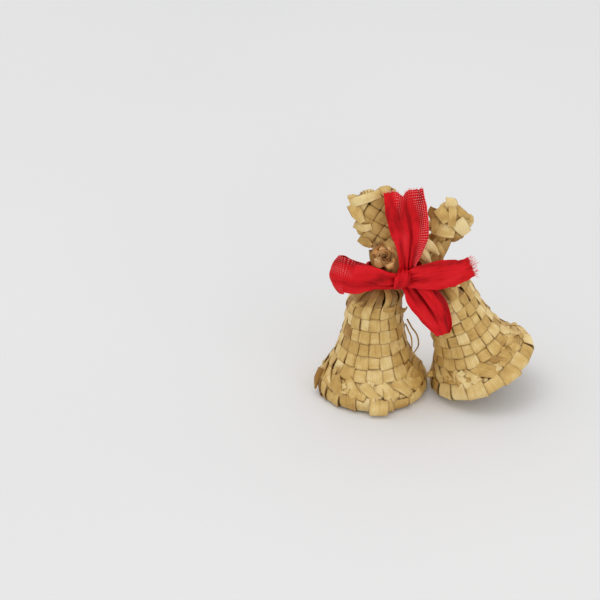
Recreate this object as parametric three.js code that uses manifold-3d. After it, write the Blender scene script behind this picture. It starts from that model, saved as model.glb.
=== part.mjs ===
// A pair of woven straw bells, tied together at their necks with a red ribbon bow.
// The left bell stands upright on its rim and the right one leans against the tie.
// Millimetres, +Z up. The origin is on the floor, under the middle of the ornament's box.

import * as THREE from 'three';
import { mergeGeometries, mergeVertices } from 'three/addons/utils/BufferGeometryUtils.js';
import Module from 'manifold-3d';

const wasm = await Module();
wasm.setup();

// ---------------------------------------------------------------- driving dimensions

const GAP = 0.35; // clearance between pieces that touch

// Every bell is woven on the same number of upright straws.
const STAKES = 18;
const STEPS_PER_STAKE = 2;
const ROW_HEIGHT = 4.3; // one ring of weaving, along the bell's axis
const WEAVE_RELIEF = 0.6; // a straw's middle above the creases beside it
const WEAVE_OVERLAP = 0.16; // share of a cell by which the straw on top laps over its neighbours
const WALL = 1.5; // two straws thick
const BORDER_HEIGHT = 5.2; // folded edge at the mouth
const BORDER_WALL = 2.6; // the fold doubles the wall
const BORDER_JAG = 0.7; // how far the border's upper edge rises and falls
const SHOULDER_RISE = 4.2;
const NECK_RADIUS = 3.3;

const LEFT_BELL = {
  mouthRadius: 18.3,
  borderRadius: 18.2, // at the top of the border
  hemRadius: 17.3, // the woven body where it leaves the border
  waistRadius: 7.4,
  flareLength: 13,
  shoulderAt: 35.6, // height of the shoulder along the axis
  neckTop: 52.0,
  neckShift: 3.0, // the neck is drawn towards the other bell
  place: new THREE.Vector3(-18.1, 0.1, 0),
  tilt: 0,
  lean: 0,
};

const RIGHT_BELL = {
  mouthRadius: 18.7,
  borderRadius: 16.6,
  hemRadius: 15.7,
  waistRadius: 8.2,
  flareLength: 10,
  shoulderAt: 33.4,
  neckTop: 44.0,
  neckShift: 0,
  place: new THREE.Vector3(19.2, 0, 8.19),
  tilt: THREE.MathUtils.degToRad(25),
  lean: THREE.MathUtils.degToRad(2.6),
};

// Plaited knobs: a flat tube of diagonal straws, folded shut above and below.
const PLAIT_STRAW = 4.1;
const PLAIT_RELIEF = 0.6;
const PLAIT_LOBE = 0.6; // how far each fold stands out at the edges
const LEFT_KNOB = {
  strawsAcross: 5,
  strawsHigh: 7,
  depth: 7.5,
  foot: 0.6, // width at the bottom as a share of the full width
  place: new THREE.Vector3(-17.2, 1.2, 63.6),
  turn: THREE.MathUtils.degToRad(15),
};
const RIGHT_KNOB = {
  strawsAcross: 4,
  strawsHigh: 4,
  depth: 6.5,
  foot: 0.8,
  place: new THREE.Vector3(6.2, 1.2, 62.2),
  turn: THREE.MathUtils.degToRad(-35),
};

// Rolled straw end in front of the left neck.
const CURL = {
  turns: 2.1,
  innerRadius: 0.9,
  outerRadius: 3.9,
  straw: 0.9,
  width: 3.6,
  steps: 26,
  lean: THREE.MathUtils.degToRad(68),
  roll: THREE.MathUtils.degToRad(200),
  place: new THREE.Vector3(-15.0, -5.2, 53.2),
};

// Folded straw ends between the right neck and its knob.
const TUFT = {
  blades: 5,
  bladeLength: 7.6,
  bladeWidth: 3.6,
  bladeThickness: 1.5,
  coreRadius: 2.7,
  coreHeight: 6.6,
  lean: THREE.MathUtils.degToRad(10),
  lift: 1.9, // clears the top of the neck, which leans the other way
  splay: THREE.MathUtils.degToRad(36),
  splayStep: THREE.MathUtils.degToRad(8), // each blade of three leans out further than the last
  bladeRoot: 0.36, // share of a blade's length from its middle to the core's axis
  bladeFoot: 1.4, // height of the blades' feet on the core
};

const RIBBON_WIDTH = 13.5;
const RIBBON_THICKNESS = 0.7;
const BAND_WIDTH = 4.0; // the ribbon gathered round the necks
const KNOT = { centre: new THREE.Vector3(-9.8, -7.1, 46.2), size: new THREE.Vector3(6.2, 7.6, 7.2) };

const UP = new THREE.Vector3(0, 0, 1);

// ---------------------------------------------------------------- materials

const straw = new THREE.MeshStandardMaterial({ color: 0xcbb277, roughness: 0.62, metalness: 0 });
const warmStraw = new THREE.MeshStandardMaterial({ color: 0xbf9350, roughness: 0.66, metalness: 0 });
const ribbonCloth = new THREE.MeshStandardMaterial({ color: 0xc81920, roughness: 0.7, metalness: 0 });

// ---------------------------------------------------------------- helpers

// Merges shared vertices and turns the faces outwards, so that the mesh is one closed body.
function closedBody(geometry) {
  const bare = geometry.index ? geometry.toNonIndexed() : geometry;
  const positionOnly = new THREE.BufferGeometry();
  positionOnly.setAttribute('position', bare.getAttribute('position').clone());
  const merged = mergeVertices(positionOnly, 1e-3);
  const position = merged.getAttribute('position');
  const faces = [];
  let volume = 0;
  const corner = [new THREE.Vector3(), new THREE.Vector3(), new THREE.Vector3()];
  for (let i = 0; i < merged.index.count; i += 3) {
    const ids = [0, 1, 2].map((k) => merged.index.getX(i + k));
    if (ids[0] === ids[1] || ids[1] === ids[2] || ids[2] === ids[0]) continue;
    ids.forEach((id, k) => corner[k].fromBufferAttribute(position, id));
    volume += corner[0].dot(corner[1].clone().cross(corner[2])) / 6;
    faces.push(ids);
  }
  merged.setIndex((volume < 0 ? faces.map(([a, b, c]) => [a, c, b]) : faces).flat());
  return merged;
}

function toSolid(geometry) {
  const body = closedBody(geometry);
  const mesh = new wasm.Mesh({
    numProp: 3,
    vertProperties: new Float32Array(body.getAttribute('position').array),
    triVerts: new Uint32Array(body.index.array),
  });
  return new wasm.Manifold(mesh);
}

function fromSolid(solid) {
  const mesh = solid.getMesh();
  const geometry = new THREE.BufferGeometry();
  geometry.setAttribute('position', new THREE.BufferAttribute(mesh.vertProperties, 3));
  geometry.setIndex(new THREE.BufferAttribute(mesh.triVerts, 1));
  return geometry;
}

function fuse(geometries) {
  return fromSolid(geometries.map(toSolid).reduce((sum, solid) => sum.add(solid)));
}

function namedMesh(name, geometry, material) {
  geometry.computeVertexNormals();
  const mesh = new THREE.Mesh(geometry, material.clone());
  mesh.name = name;
  return mesh;
}

// Moves every vertex of a geometry through a function that changes it in place.
function reshape(geometry, change) {
  const position = geometry.getAttribute('position');
  const point = new THREE.Vector3();
  for (let i = 0; i < position.count; i += 1) {
    point.fromBufferAttribute(position, i);
    change(point);
    position.setXYZ(i, point.x, point.y, point.z);
  }
  return geometry;
}

// Splits each quad of a grid along the diagonal that its relief bulges out on, so that every pillow
// keeps four even sides. The grid lists the two triangles of a quad one after the other.
function splitAlongRidges(geometry, bulge) {
  const index = geometry.getIndex();
  const position = geometry.getAttribute('position');
  const point = new THREE.Vector3();
  const bulges = [];
  for (let id = 0; id < position.count; id += 1) {
    bulges.push(bulge(point.fromBufferAttribute(position, id)));
  }
  for (let i = 0; i < index.count; i += 6) {
    const [a, b, d] = [0, 1, 2].map((k) => index.getX(i + k));
    const c = [3, 4, 5].map((k) => index.getX(i + k)).find((id) => id !== b && id !== d);
    if (bulges[a] + bulges[c] > bulges[b] + bulges[d]) {
      [a, b, c, a, c, d].forEach((id, k) => index.setX(i + k, id));
    }
  }
  return geometry;
}

// Height of a plain weave's pillow: 1 in the middle of a cell, 0 along its creases.
function pillow(across, along) {
  return Math.sqrt(Math.abs(Math.sin(Math.PI * across) * Math.sin(Math.PI * along)));
}

// ---------------------------------------------------------------- woven bells

// Outer radius of the woven body, which flares out like a horn towards the mouth.
function bodyRadius(bell, height) {
  const flare = bell.hemRadius - bell.waistRadius;
  return bell.waistRadius + flare * Math.exp(-(height - BORDER_HEIGHT) / bell.flareLength);
}

// The half section of a bell, from the top of its neck down the outside and back up the inside.
function bellProfile(bell) {
  const profile = [new THREE.Vector2(0, bell.neckTop), new THREE.Vector2(NECK_RADIUS, bell.neckTop)];
  const shoulderTop = bell.shoulderAt + SHOULDER_RISE;
  const shoulderRadius = bodyRadius(bell, bell.shoulderAt);
  const shoulderSteps = 3;
  for (let i = 0; i < shoulderSteps; i += 1) {
    const angle = (Math.PI / 2) * (i / shoulderSteps);
    const radius = NECK_RADIUS + (shoulderRadius - NECK_RADIUS) * Math.sin(angle);
    profile.push(new THREE.Vector2(radius, bell.shoulderAt + SHOULDER_RISE * Math.cos(angle)));
  }
  const rings = 2 * Math.round((bell.shoulderAt - BORDER_HEIGHT) / ROW_HEIGHT);
  for (let i = 0; i <= rings; i += 1) {
    const height = THREE.MathUtils.lerp(bell.shoulderAt, BORDER_HEIGHT, i / rings);
    profile.push(new THREE.Vector2(bodyRadius(bell, height), height));
  }
  const borderMiddle = (bell.mouthRadius + bell.borderRadius) / 2 + WEAVE_RELIEF;
  profile.push(new THREE.Vector2(bell.borderRadius, BORDER_HEIGHT * 0.8));
  profile.push(new THREE.Vector2(borderMiddle, BORDER_HEIGHT * 0.4));
  profile.push(new THREE.Vector2(bell.mouthRadius, 0));
  profile.push(new THREE.Vector2(bell.mouthRadius - BORDER_WALL, 0));
  const innerSteps = 6;
  const innerTop = shoulderTop - 2 * WALL - 1;
  for (let i = 1; i <= innerSteps; i += 1) {
    const height = THREE.MathUtils.lerp(0, innerTop, i / innerSteps);
    const radius = i === innerSteps ? NECK_RADIUS : bodyRadius(bell, Math.max(height, 2)) - WALL;
    profile.push(new THREE.Vector2(Math.min(radius, bell.mouthRadius - BORDER_WALL), height));
  }
  profile.push(new THREE.Vector2(0, innerTop));
  return profile;
}

// Where a point of the lathed shell lies in the weave, counted in straws round it and rows up it.
function weavePlace(bell, point) {
  const radius = Math.hypot(point.x, point.y);
  const rows = Math.round((bell.shoulderAt - BORDER_HEIGHT) / ROW_HEIGHT);
  const row = ((point.z - BORDER_HEIGHT) / (bell.shoulderAt - BORDER_HEIGHT)) * rows;
  const stake = ((Math.atan2(point.y, point.x) / (2 * Math.PI)) * STAKES + STAKES) % STAKES;
  const isOutside = radius > bodyRadius(bell, point.z) - WALL / 3;
  return { stake, row, isWoven: isOutside && row > 0.01 && row < rows - 0.01 };
}

// Raises the pillows of the weave, the gathered folds of the shoulder and the jagged border, and
// draws the neck aside.
function weaveBell(bell, point) {
  const { stake, row, isWoven } = weavePlace(bell, point);
  const radius = Math.hypot(point.x, point.y);
  const height = point.z;
  const fold = Math.abs(Math.sin(Math.PI * stake));
  let raise = 0;
  if (isWoven) {
    raise = WEAVE_RELIEF * pillow(stake, row);
    const lap = WEAVE_OVERLAP * Math.cos(Math.PI * stake) * Math.sin(Math.PI * row);
    point.applyAxisAngle(UP, ((2 * Math.PI) / STAKES) * lap);
    point.z -= ROW_HEIGHT * WEAVE_OVERLAP * Math.sin(Math.PI * stake) * Math.cos(Math.PI * row);
  } else if (height > bell.shoulderAt && height < bell.neckTop && radius > NECK_RADIUS - 0.1) {
    raise = WEAVE_RELIEF * fold;
  } else if (height < BORDER_HEIGHT && radius > bell.borderRadius - 0.1) {
    raise = (height > 0 ? 1 : 0.5) * WEAVE_RELIEF * fold;
    if (height > BORDER_HEIGHT / 2) point.z += BORDER_JAG * Math.sin((Math.PI * (stake + 0.5)) / 2);
  }
  const scale = radius > 0 ? (radius + raise) / radius : 1;
  point.x *= scale;
  point.y *= scale;
  const drawn = THREE.MathUtils.smoothstep(height, bell.shoulderAt - 4, bell.shoulderAt + 7);
  point.x += bell.neckShift * drawn;
}

function wovenBell(name, bell) {
  const shell = new THREE.LatheGeometry(bellProfile(bell), STAKES * STEPS_PER_STAKE);
  shell.rotateX(Math.PI / 2);
  splitAlongRidges(shell, (point) => {
    const { stake, row, isWoven } = weavePlace(bell, point);
    return isWoven ? pillow(stake, row) : 0;
  });
  const mesh = namedMesh(name, closedBody(reshape(shell, (point) => weaveBell(bell, point))), straw);
  mesh.position.copy(bell.place);
  mesh.rotation.set(bell.lean, -bell.tilt, 0);
  return mesh;
}

// A point on a bell's axis, at a height measured along the axis.
function onAxis(bell, height) {
  const rotation = new THREE.Euler(bell.lean, -bell.tilt, 0);
  return new THREE.Vector3(bell.neckShift, 0, height).applyEuler(rotation).add(bell.place);
}

// ---------------------------------------------------------------- plaited knobs

// The front of the plait: a grid of pillows on the diagonal, flat at its edges.
function plaitedFront(knob) {
  const halfDiagonal = PLAIT_STRAW / Math.SQRT2;
  const width = knob.strawsAcross * halfDiagonal;
  const height = knob.strawsHigh * halfDiagonal;
  const plaitPlace = (point) => {
    const x = (point.x + width / 2) / (2 * halfDiagonal);
    const y = (point.y + height / 2) / (2 * halfDiagonal);
    return [x + y, y - x];
  };
  const front = new THREE.PlaneGeometry(width, height, knob.strawsAcross * 2, knob.strawsHigh * 2);
  splitAlongRidges(front, (point) => pillow(...plaitPlace(point)));
  return reshape(front, (point) => {
    const across = point.x / width;
    const up = point.y / height;
    const isSide = Math.abs(across) > 0.49;
    const isEnd = Math.abs(up) > 0.49;
    const bulge = pillow(...plaitPlace(point));
    const round = (share) => Math.sqrt(Math.max(0, 1 - Math.abs(2 * share) ** 2.4));
    const crown = isSide || isEnd ? 0 : round(across) * round(up);
    point.z = (knob.depth / 2 - PLAIT_RELIEF) * crown + PLAIT_RELIEF * bulge * Math.min(1, crown * 3);
    if (isSide) point.x += Math.sign(across) * PLAIT_LOBE * bulge;
    if (isEnd) point.y += Math.sign(up) * PLAIT_LOBE * bulge;
    point.x *= THREE.MathUtils.lerp(knob.foot, 1, THREE.MathUtils.smoothstep(up, -0.62, -0.1));
  });
}

// The back of the plait meets the front along its edges.
function mirrored(front) {
  const back = front.clone();
  back.scale(1, 1, -1);
  const index = back.getIndex();
  for (let i = 0; i < index.count; i += 3) {
    const second = index.getX(i + 1);
    index.setX(i + 1, index.getX(i + 2));
    index.setX(i + 2, second);
  }
  return back;
}

function plaitedKnob(name, knob) {
  const front = plaitedFront(knob);
  const mesh = namedMesh(name, closedBody(mergeGeometries([front, mirrored(front)])), straw);
  mesh.position.copy(knob.place);
  mesh.rotation.set(Math.PI / 2, 0, knob.turn);
  return mesh;
}

// ---------------------------------------------------------------- straw ends

class Spiral extends THREE.Curve {
  getPoint(t, target = new THREE.Vector3()) {
    const radius = THREE.MathUtils.lerp(CURL.innerRadius, CURL.outerRadius, t);
    const angle = 2 * Math.PI * CURL.turns * t;
    return target.set(radius * Math.cos(angle), radius * Math.sin(angle), 0);
  }
}

function rolledCurl() {
  const section = new THREE.Shape();
  section.moveTo(-CURL.width / 2, -CURL.straw / 2);
  section.lineTo(CURL.width / 2, -CURL.straw / 2);
  section.lineTo(CURL.width / 2, CURL.straw / 2);
  section.lineTo(-CURL.width / 2, CURL.straw / 2);
  const roll = new THREE.ExtrudeGeometry(section, { steps: CURL.steps, extrudePath: new Spiral() });
  const mesh = namedMesh('left_curl', closedBody(roll), warmStraw);
  mesh.position.copy(CURL.place);
  mesh.rotation.set(CURL.lean, 0, CURL.roll);
  return mesh;
}

function strawTuft() {
  const pieces = [];
  const core = new THREE.CylinderGeometry(TUFT.coreRadius * 0.9, TUFT.coreRadius, TUFT.coreHeight, 10);
  core.rotateX(Math.PI / 2);
  core.translate(0, 0, TUFT.coreHeight / 2);
  pieces.push(core);
  for (let i = 0; i < TUFT.blades; i += 1) {
    const blade = new THREE.SphereGeometry(0.5, 8, 6);
    blade.scale(TUFT.bladeWidth, TUFT.bladeLength, TUFT.bladeThickness);
    blade.translate(0, TUFT.bladeLength * TUFT.bladeRoot, 0);
    blade.rotateX(TUFT.splay + TUFT.splayStep * (i % 3));
    blade.rotateZ((2 * Math.PI * i) / TUFT.blades);
    blade.translate(0, 0, TUFT.bladeFoot);
    pieces.push(blade);
  }
  return namedMesh('right_tuft', fuse(pieces), straw);
}

// ---------------------------------------------------------------- ribbon bow

// A stretch of ribbon, lofted through stations that give a place, the direction across it and a width.
function ribbonStretch(stations, { steps = 14, notch = 0 } = {}) {
  const places = new THREE.CatmullRomCurve3(stations.map((s) => new THREE.Vector3(...s.at)));
  const acrosses = new THREE.CatmullRomCurve3(stations.map((s) => new THREE.Vector3(...s.across)));
  const widths = new THREE.CatmullRomCurve3(stations.map((s) => new THREE.Vector3(s.width, 0, 0)));
  const length = places.getLength();
  const strip = new THREE.BoxGeometry(1, 1, 1, steps, 4, 1);
  return reshape(strip, (point) => {
    const side = point.y;
    const layer = point.z * RIBBON_THICKNESS;
    const cut = (notch / length) * Math.max(0, 1 - Math.abs(side) * 4);
    const t = (point.x + 0.5) * (1 - cut);
    const along = places.getTangent(t);
    const across = acrosses.getPoint(t);
    across.addScaledVector(along, -across.dot(along)).normalize();
    const normal = along.clone().cross(across);
    point.copy(places.getPoint(t));
    point.addScaledVector(across, side * widths.getPoint(t).x);
    point.addScaledVector(normal, layer);
  });
}

// The ribbon pulled tight round both necks, meeting itself inside the knot.
function neckBand() {
  const height = KNOT.centre.z;
  const reach = NECK_RADIUS + WEAVE_RELIEF + 1.3 * GAP + RIBBON_THICKNESS / 2;
  const count = 16;
  const stations = [];
  for (let i = 0; i <= count; i += 1) {
    const angle = -Math.PI / 2 + (2 * Math.PI * i) / count;
    const bell = Math.cos(angle) > 1e-6 ? RIGHT_BELL : LEFT_BELL;
    const neck = onAxis(bell, (height - bell.place.z) / Math.cos(bell.tilt));
    const isEnd = i === 0 || i === count;
    const x = isEnd ? KNOT.centre.x : neck.x + (1.06 * reach * Math.cos(angle)) / Math.cos(bell.tilt);
    stations.push({
      at: [x, neck.y + reach * Math.sin(angle), height],
      across: isEnd ? [0, 0, 1] : [-Math.sin(bell.tilt), 0, Math.cos(bell.tilt)],
      width: BAND_WIDTH,
    });
  }
  return ribbonStretch(stations, { steps: 32 });
}

function ribbonKnot() {
  const knot = new THREE.SphereGeometry(0.5, 12, 8);
  knot.scale(KNOT.size.x, KNOT.size.y, KNOT.size.z);
  knot.translate(KNOT.centre.x, KNOT.centre.y, KNOT.centre.z);
  return knot;
}

function ribbonBow() {
  const full = RIBBON_WIDTH;
  const leftLoop = [
    { at: [-11.4, -8.6, 46.2], across: [0, 0, 1], width: full * 0.4 },
    { at: [-18.0, -11.0, 47.4], across: [0, -0.2, 1], width: full * 0.62 },
    { at: [-26.0, -11.4, 48.8], across: [0.1, -0.2, 1], width: full * 0.78 },
    { at: [-31.4, -8.4, 48.2], across: [0.1, 0, 1], width: full * 0.8 },
    { at: [-26.4, -6.2, 46.4], across: [0, 0.1, 1], width: full * 0.86 },
    { at: [-18.0, -6.0, 45.2], across: [0, 0, 1], width: full * 0.5 },
    { at: [-11.4, -6.4, 45.6], across: [0, 0, 1], width: full * 0.32 },
  ];
  const lowerLoop = [
    { at: [-7.4, -8.8, 44.2], across: [0.9, 0.1, 0.4], width: full * 0.44 },
    { at: [-2.4, -12.4, 40.8], across: [0.9, 0.1, 0.4], width: full * 0.82 },
    { at: [1.0, -14.4, 36.4], across: [0.9, 0.1, 0.4], width: full * 0.78 },
    { at: [4.2, -15.2, 30.8], across: [0.85, 0.1, 0.5], width: full * 0.44 },
    { at: [4.0, -13.4, 31.2], across: [0.85, 0.1, 0.5], width: full * 0.5 },
    { at: [0.8, -12.4, 36.8], across: [0.9, 0.1, 0.4], width: full * 0.72 },
    { at: [-6.4, -7.8, 44.0], across: [0.9, 0.1, 0.4], width: full * 0.36 },
  ];
  const topTail = [
    { at: [-9.0, -8.2, 47.8], across: [1, 0, 0], width: full * 0.36 },
    { at: [-8.0, -8.8, 53.4], across: [1, 0, 0], width: full * 0.46 },
    { at: [-8.0, -7.0, 61.0], across: [1, 0, 0], width: full * 0.86 },
    { at: [-9.0, -4.8, 70.0], across: [1, 0, 0], width: full * 0.98 },
    { at: [-9.6, -3.4, 76.4], across: [1, 0, 0.06], width: full * 0.98 },
  ];
  const rightTail = [
    { at: [-7.4, -8.6, 46.2], across: [0, 0.1, 1], width: full * 0.4 },
    { at: [-2.6, -10.2, 47.2], across: [0, 0.1, 1], width: full * 0.62 },
    { at: [2.6, -10.2, 48.2], across: [0, 0.5, 1], width: full * 0.72 },
    { at: [7.8, -9.0, 49.2], across: [0, 0.9, 0.7], width: full * 0.66 },
    { at: [12.2, -7.8, 50.2], across: [-0.2, 1, 0.4], width: full * 0.56 },
  ];
  const pieces = [
    ribbonKnot(),
    neckBand(),
    ribbonStretch(leftLoop, { steps: 22 }),
    ribbonStretch(lowerLoop, { steps: 22 }),
    ribbonStretch(topTail, { steps: 12, notch: 2.4 }),
    ribbonStretch(rightTail, { steps: 12 }),
  ];
  return namedMesh('ribbon_bow', fuse(pieces), ribbonCloth);
}

// ---------------------------------------------------------------- the ornament

const ornament = new THREE.Group();
ornament.name = 'straw_bells';
ornament.add(wovenBell('left_bell', LEFT_BELL));
ornament.add(wovenBell('right_bell', RIGHT_BELL));
ornament.add(plaitedKnob('left_knob', LEFT_KNOB));
ornament.add(plaitedKnob('right_knob', RIGHT_KNOB));
ornament.add(rolledCurl());

const tuft = strawTuft();
tuft.position.copy(onAxis(RIGHT_BELL, RIGHT_BELL.neckTop + TUFT.lift));
tuft.rotation.y = TUFT.lean;
ornament.add(tuft);

ornament.add(ribbonBow());

const middle = new THREE.Box3().setFromObject(ornament, true).getCenter(new THREE.Vector3());
ornament.position.set(-middle.x, -middle.y, 0);

export default ornament;
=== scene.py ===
"""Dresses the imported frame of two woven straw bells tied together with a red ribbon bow.

Each bell is laid straw by straw: upright stakes, rings of weaving, a folded border at the mouth
and a gathered neck. The knobs are flat tubes of diagonal plaiting, and the ribbon is one thin
cloth. Sizes are in millimetres and become metres when a mesh is made.
"""

import logging
import math
from dataclasses import dataclass, field
from enum import Enum

import bpy
import numpy as np
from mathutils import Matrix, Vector


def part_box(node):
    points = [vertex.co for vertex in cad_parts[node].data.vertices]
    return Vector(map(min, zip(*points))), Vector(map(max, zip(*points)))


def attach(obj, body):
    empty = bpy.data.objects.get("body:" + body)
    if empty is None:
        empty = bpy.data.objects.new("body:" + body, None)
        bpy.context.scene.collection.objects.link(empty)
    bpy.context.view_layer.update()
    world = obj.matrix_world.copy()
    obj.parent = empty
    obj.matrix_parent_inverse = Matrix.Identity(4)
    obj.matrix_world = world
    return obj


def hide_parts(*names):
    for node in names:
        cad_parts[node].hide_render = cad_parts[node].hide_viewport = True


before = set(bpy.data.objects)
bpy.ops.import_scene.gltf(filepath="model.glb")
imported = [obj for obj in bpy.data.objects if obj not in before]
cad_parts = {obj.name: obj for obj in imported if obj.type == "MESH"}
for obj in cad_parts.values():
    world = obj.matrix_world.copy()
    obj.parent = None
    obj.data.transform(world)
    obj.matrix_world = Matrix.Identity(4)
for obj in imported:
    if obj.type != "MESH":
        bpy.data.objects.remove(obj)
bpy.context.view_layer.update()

LOG = logging.getLogger("straw_bells")
MM = 0.001
BODY = "root"

STAKES = 18  # upright straws in each bell
STRAW_THICKNESS = 0.3
TIGHT_STRAW_THICKNESS = 0.34  # where straws are plaited or rolled tightly
WEAVE_DEPTH = 0.4  # how far a straw's middle lies in front of the shell's middle where it is on top
STRAW_CROWN = 0.1  # how far a straw's edges lie behind its middle
COVERED_SHADE = 0.95  # painted shade: how dark a straw is painted where another one covers it
FLOAT_TILT = 0.26  # how far the lower end of a stake stands out where the stake is on top
RING_SLANT = -0.08  # slope of a ring across its own width
STAKE_POINTS = 132  # points along a stake
RING_POINTS = 10  # points along a ring from one stake to the next
FIBRE_RUN = 300  # strips start anywhere along this length of the fibre pattern, so none are alike
LEFT_BELL_AXIS = (-18.1, 0.1)  # the left bell's axis in the part's own drawing


# ---------------------------------------------------------------- shared helpers


def deselect_all() -> None:
    """Leaves nothing selected, so that an operator acts on new work alone."""
    bpy.ops.object.select_all(action="DESELECT")


def drawing_shift() -> np.ndarray:
    """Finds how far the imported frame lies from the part's own drawing.

    Returns:
        The shift in millimetres, from drawing places to frame places.
    """
    low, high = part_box("left_bell")
    middle = (np.array(low) + np.array(high)) / 2 / MM
    return np.array([middle[0] - LEFT_BELL_AXIS[0], middle[1] - LEFT_BELL_AXIS[1], 0.0])


SHIFT = drawing_shift()


def smoothstep(value: np.ndarray, low: float, high: float) -> np.ndarray:
    """Rises smoothly from 0 at low to 1 at high."""
    share = np.clip((np.asarray(value, float) - low) / (high - low), 0, 1)
    return share * share * (3 - 2 * share)


def plateau(value: np.ndarray, sharpness: float = 2.2) -> np.ndarray:
    """Flattens the tops of a wave between -1 and 1, so that a straw lies flat where it is on top."""
    return np.tanh(sharpness * value) / math.tanh(sharpness)


def smooth_path(points: list | np.ndarray, count: int) -> np.ndarray:
    """Samples a smooth curve that passes through all the points.

    Args:
        points: Rows of numbers, one row per point of the curve.
        count: How many rows to return.

    Returns:
        An array of count rows, from the first point to the last.
    """
    points = np.asarray(points, float)
    at = np.linspace(0, len(points) - 1, count)
    start = np.clip(at.astype(int), 0, len(points) - 2)
    part = (at - start)[:, None]
    ends = np.vstack([2 * points[0] - points[1], points, 2 * points[-1] - points[-2]])
    a, b, c, d = (ends[start + k] for k in range(4))
    return 0.5 * (
        2 * b + (c - a) * part + (2 * a - 5 * b + 4 * c - d) * part**2 + (3 * b - a - 3 * c + d) * part**3
    )


def distance_along(points: np.ndarray) -> np.ndarray:
    """Adds up the length of a path of points, starting from 0."""
    steps = np.linalg.norm(np.diff(points, axis=0), axis=1)
    return np.concatenate([[0.0], np.cumsum(steps)])


def unit(vectors: np.ndarray) -> np.ndarray:
    """Scales vectors to a length of 1."""
    return vectors / np.maximum(np.linalg.norm(vectors, axis=-1, keepdims=True), 1e-9)


def turned(points: np.ndarray, lean: float, tilt: float, roll: float = 0.0) -> np.ndarray:
    """Turns points about Z by roll, then about Y by tilt, then about X by lean.

    Args:
        points: Places as an array whose last axis is x, y, z.
        lean: Turn about X in radians.
        tilt: Turn about Y in radians.
        roll: Turn about Z in radians.

    Returns:
        The turned places.
    """
    cx, sx, cy, sy, cz, sz = (f(a) for a in (lean, tilt, roll) for f in (math.cos, math.sin))
    about_x = np.array([[1, 0, 0], [0, cx, -sx], [0, sx, cx]])
    about_y = np.array([[cy, 0, sy], [0, 1, 0], [-sy, 0, cy]])
    about_z = np.array([[cz, -sz, 0], [sz, cz, 0], [0, 0, 1]])
    return points @ (about_x @ about_y @ about_z).T


def uneven(rng: np.random.Generator, at: np.ndarray, size: float) -> np.ndarray:
    """Draws one random value per whole step and joins them smoothly.

    Args:
        rng: The piece's own seeded generator.
        at: Where each value is wanted, counted in steps.
        size: The usual size of a value.

    Returns:
        One value for each entry of at.
    """
    low = math.floor(float(at.min())) - 1
    values = rng.normal(0, size, math.ceil(float(at.max())) - low + 3)
    place = at - low
    start = place.astype(int)
    part = smoothstep(place - start, 0, 1)
    return values[start] * (1 - part) + values[start + 1] * part


def covered(over: np.ndarray) -> np.ndarray:
    """Paints shade on a woven straw towards the places where another one covers it."""
    return COVERED_SHADE * smoothstep(-over, -0.6, 0.1)


# ---------------------------------------------------------------- finishes

Node = bpy.types.Node
Socket = str | int  # a socket's name, or its number where several share a name
MIX_FROM, MIX_TO, MIX_RESULT = 6, 7, 2  # the colour sockets of a Mix node


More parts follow.
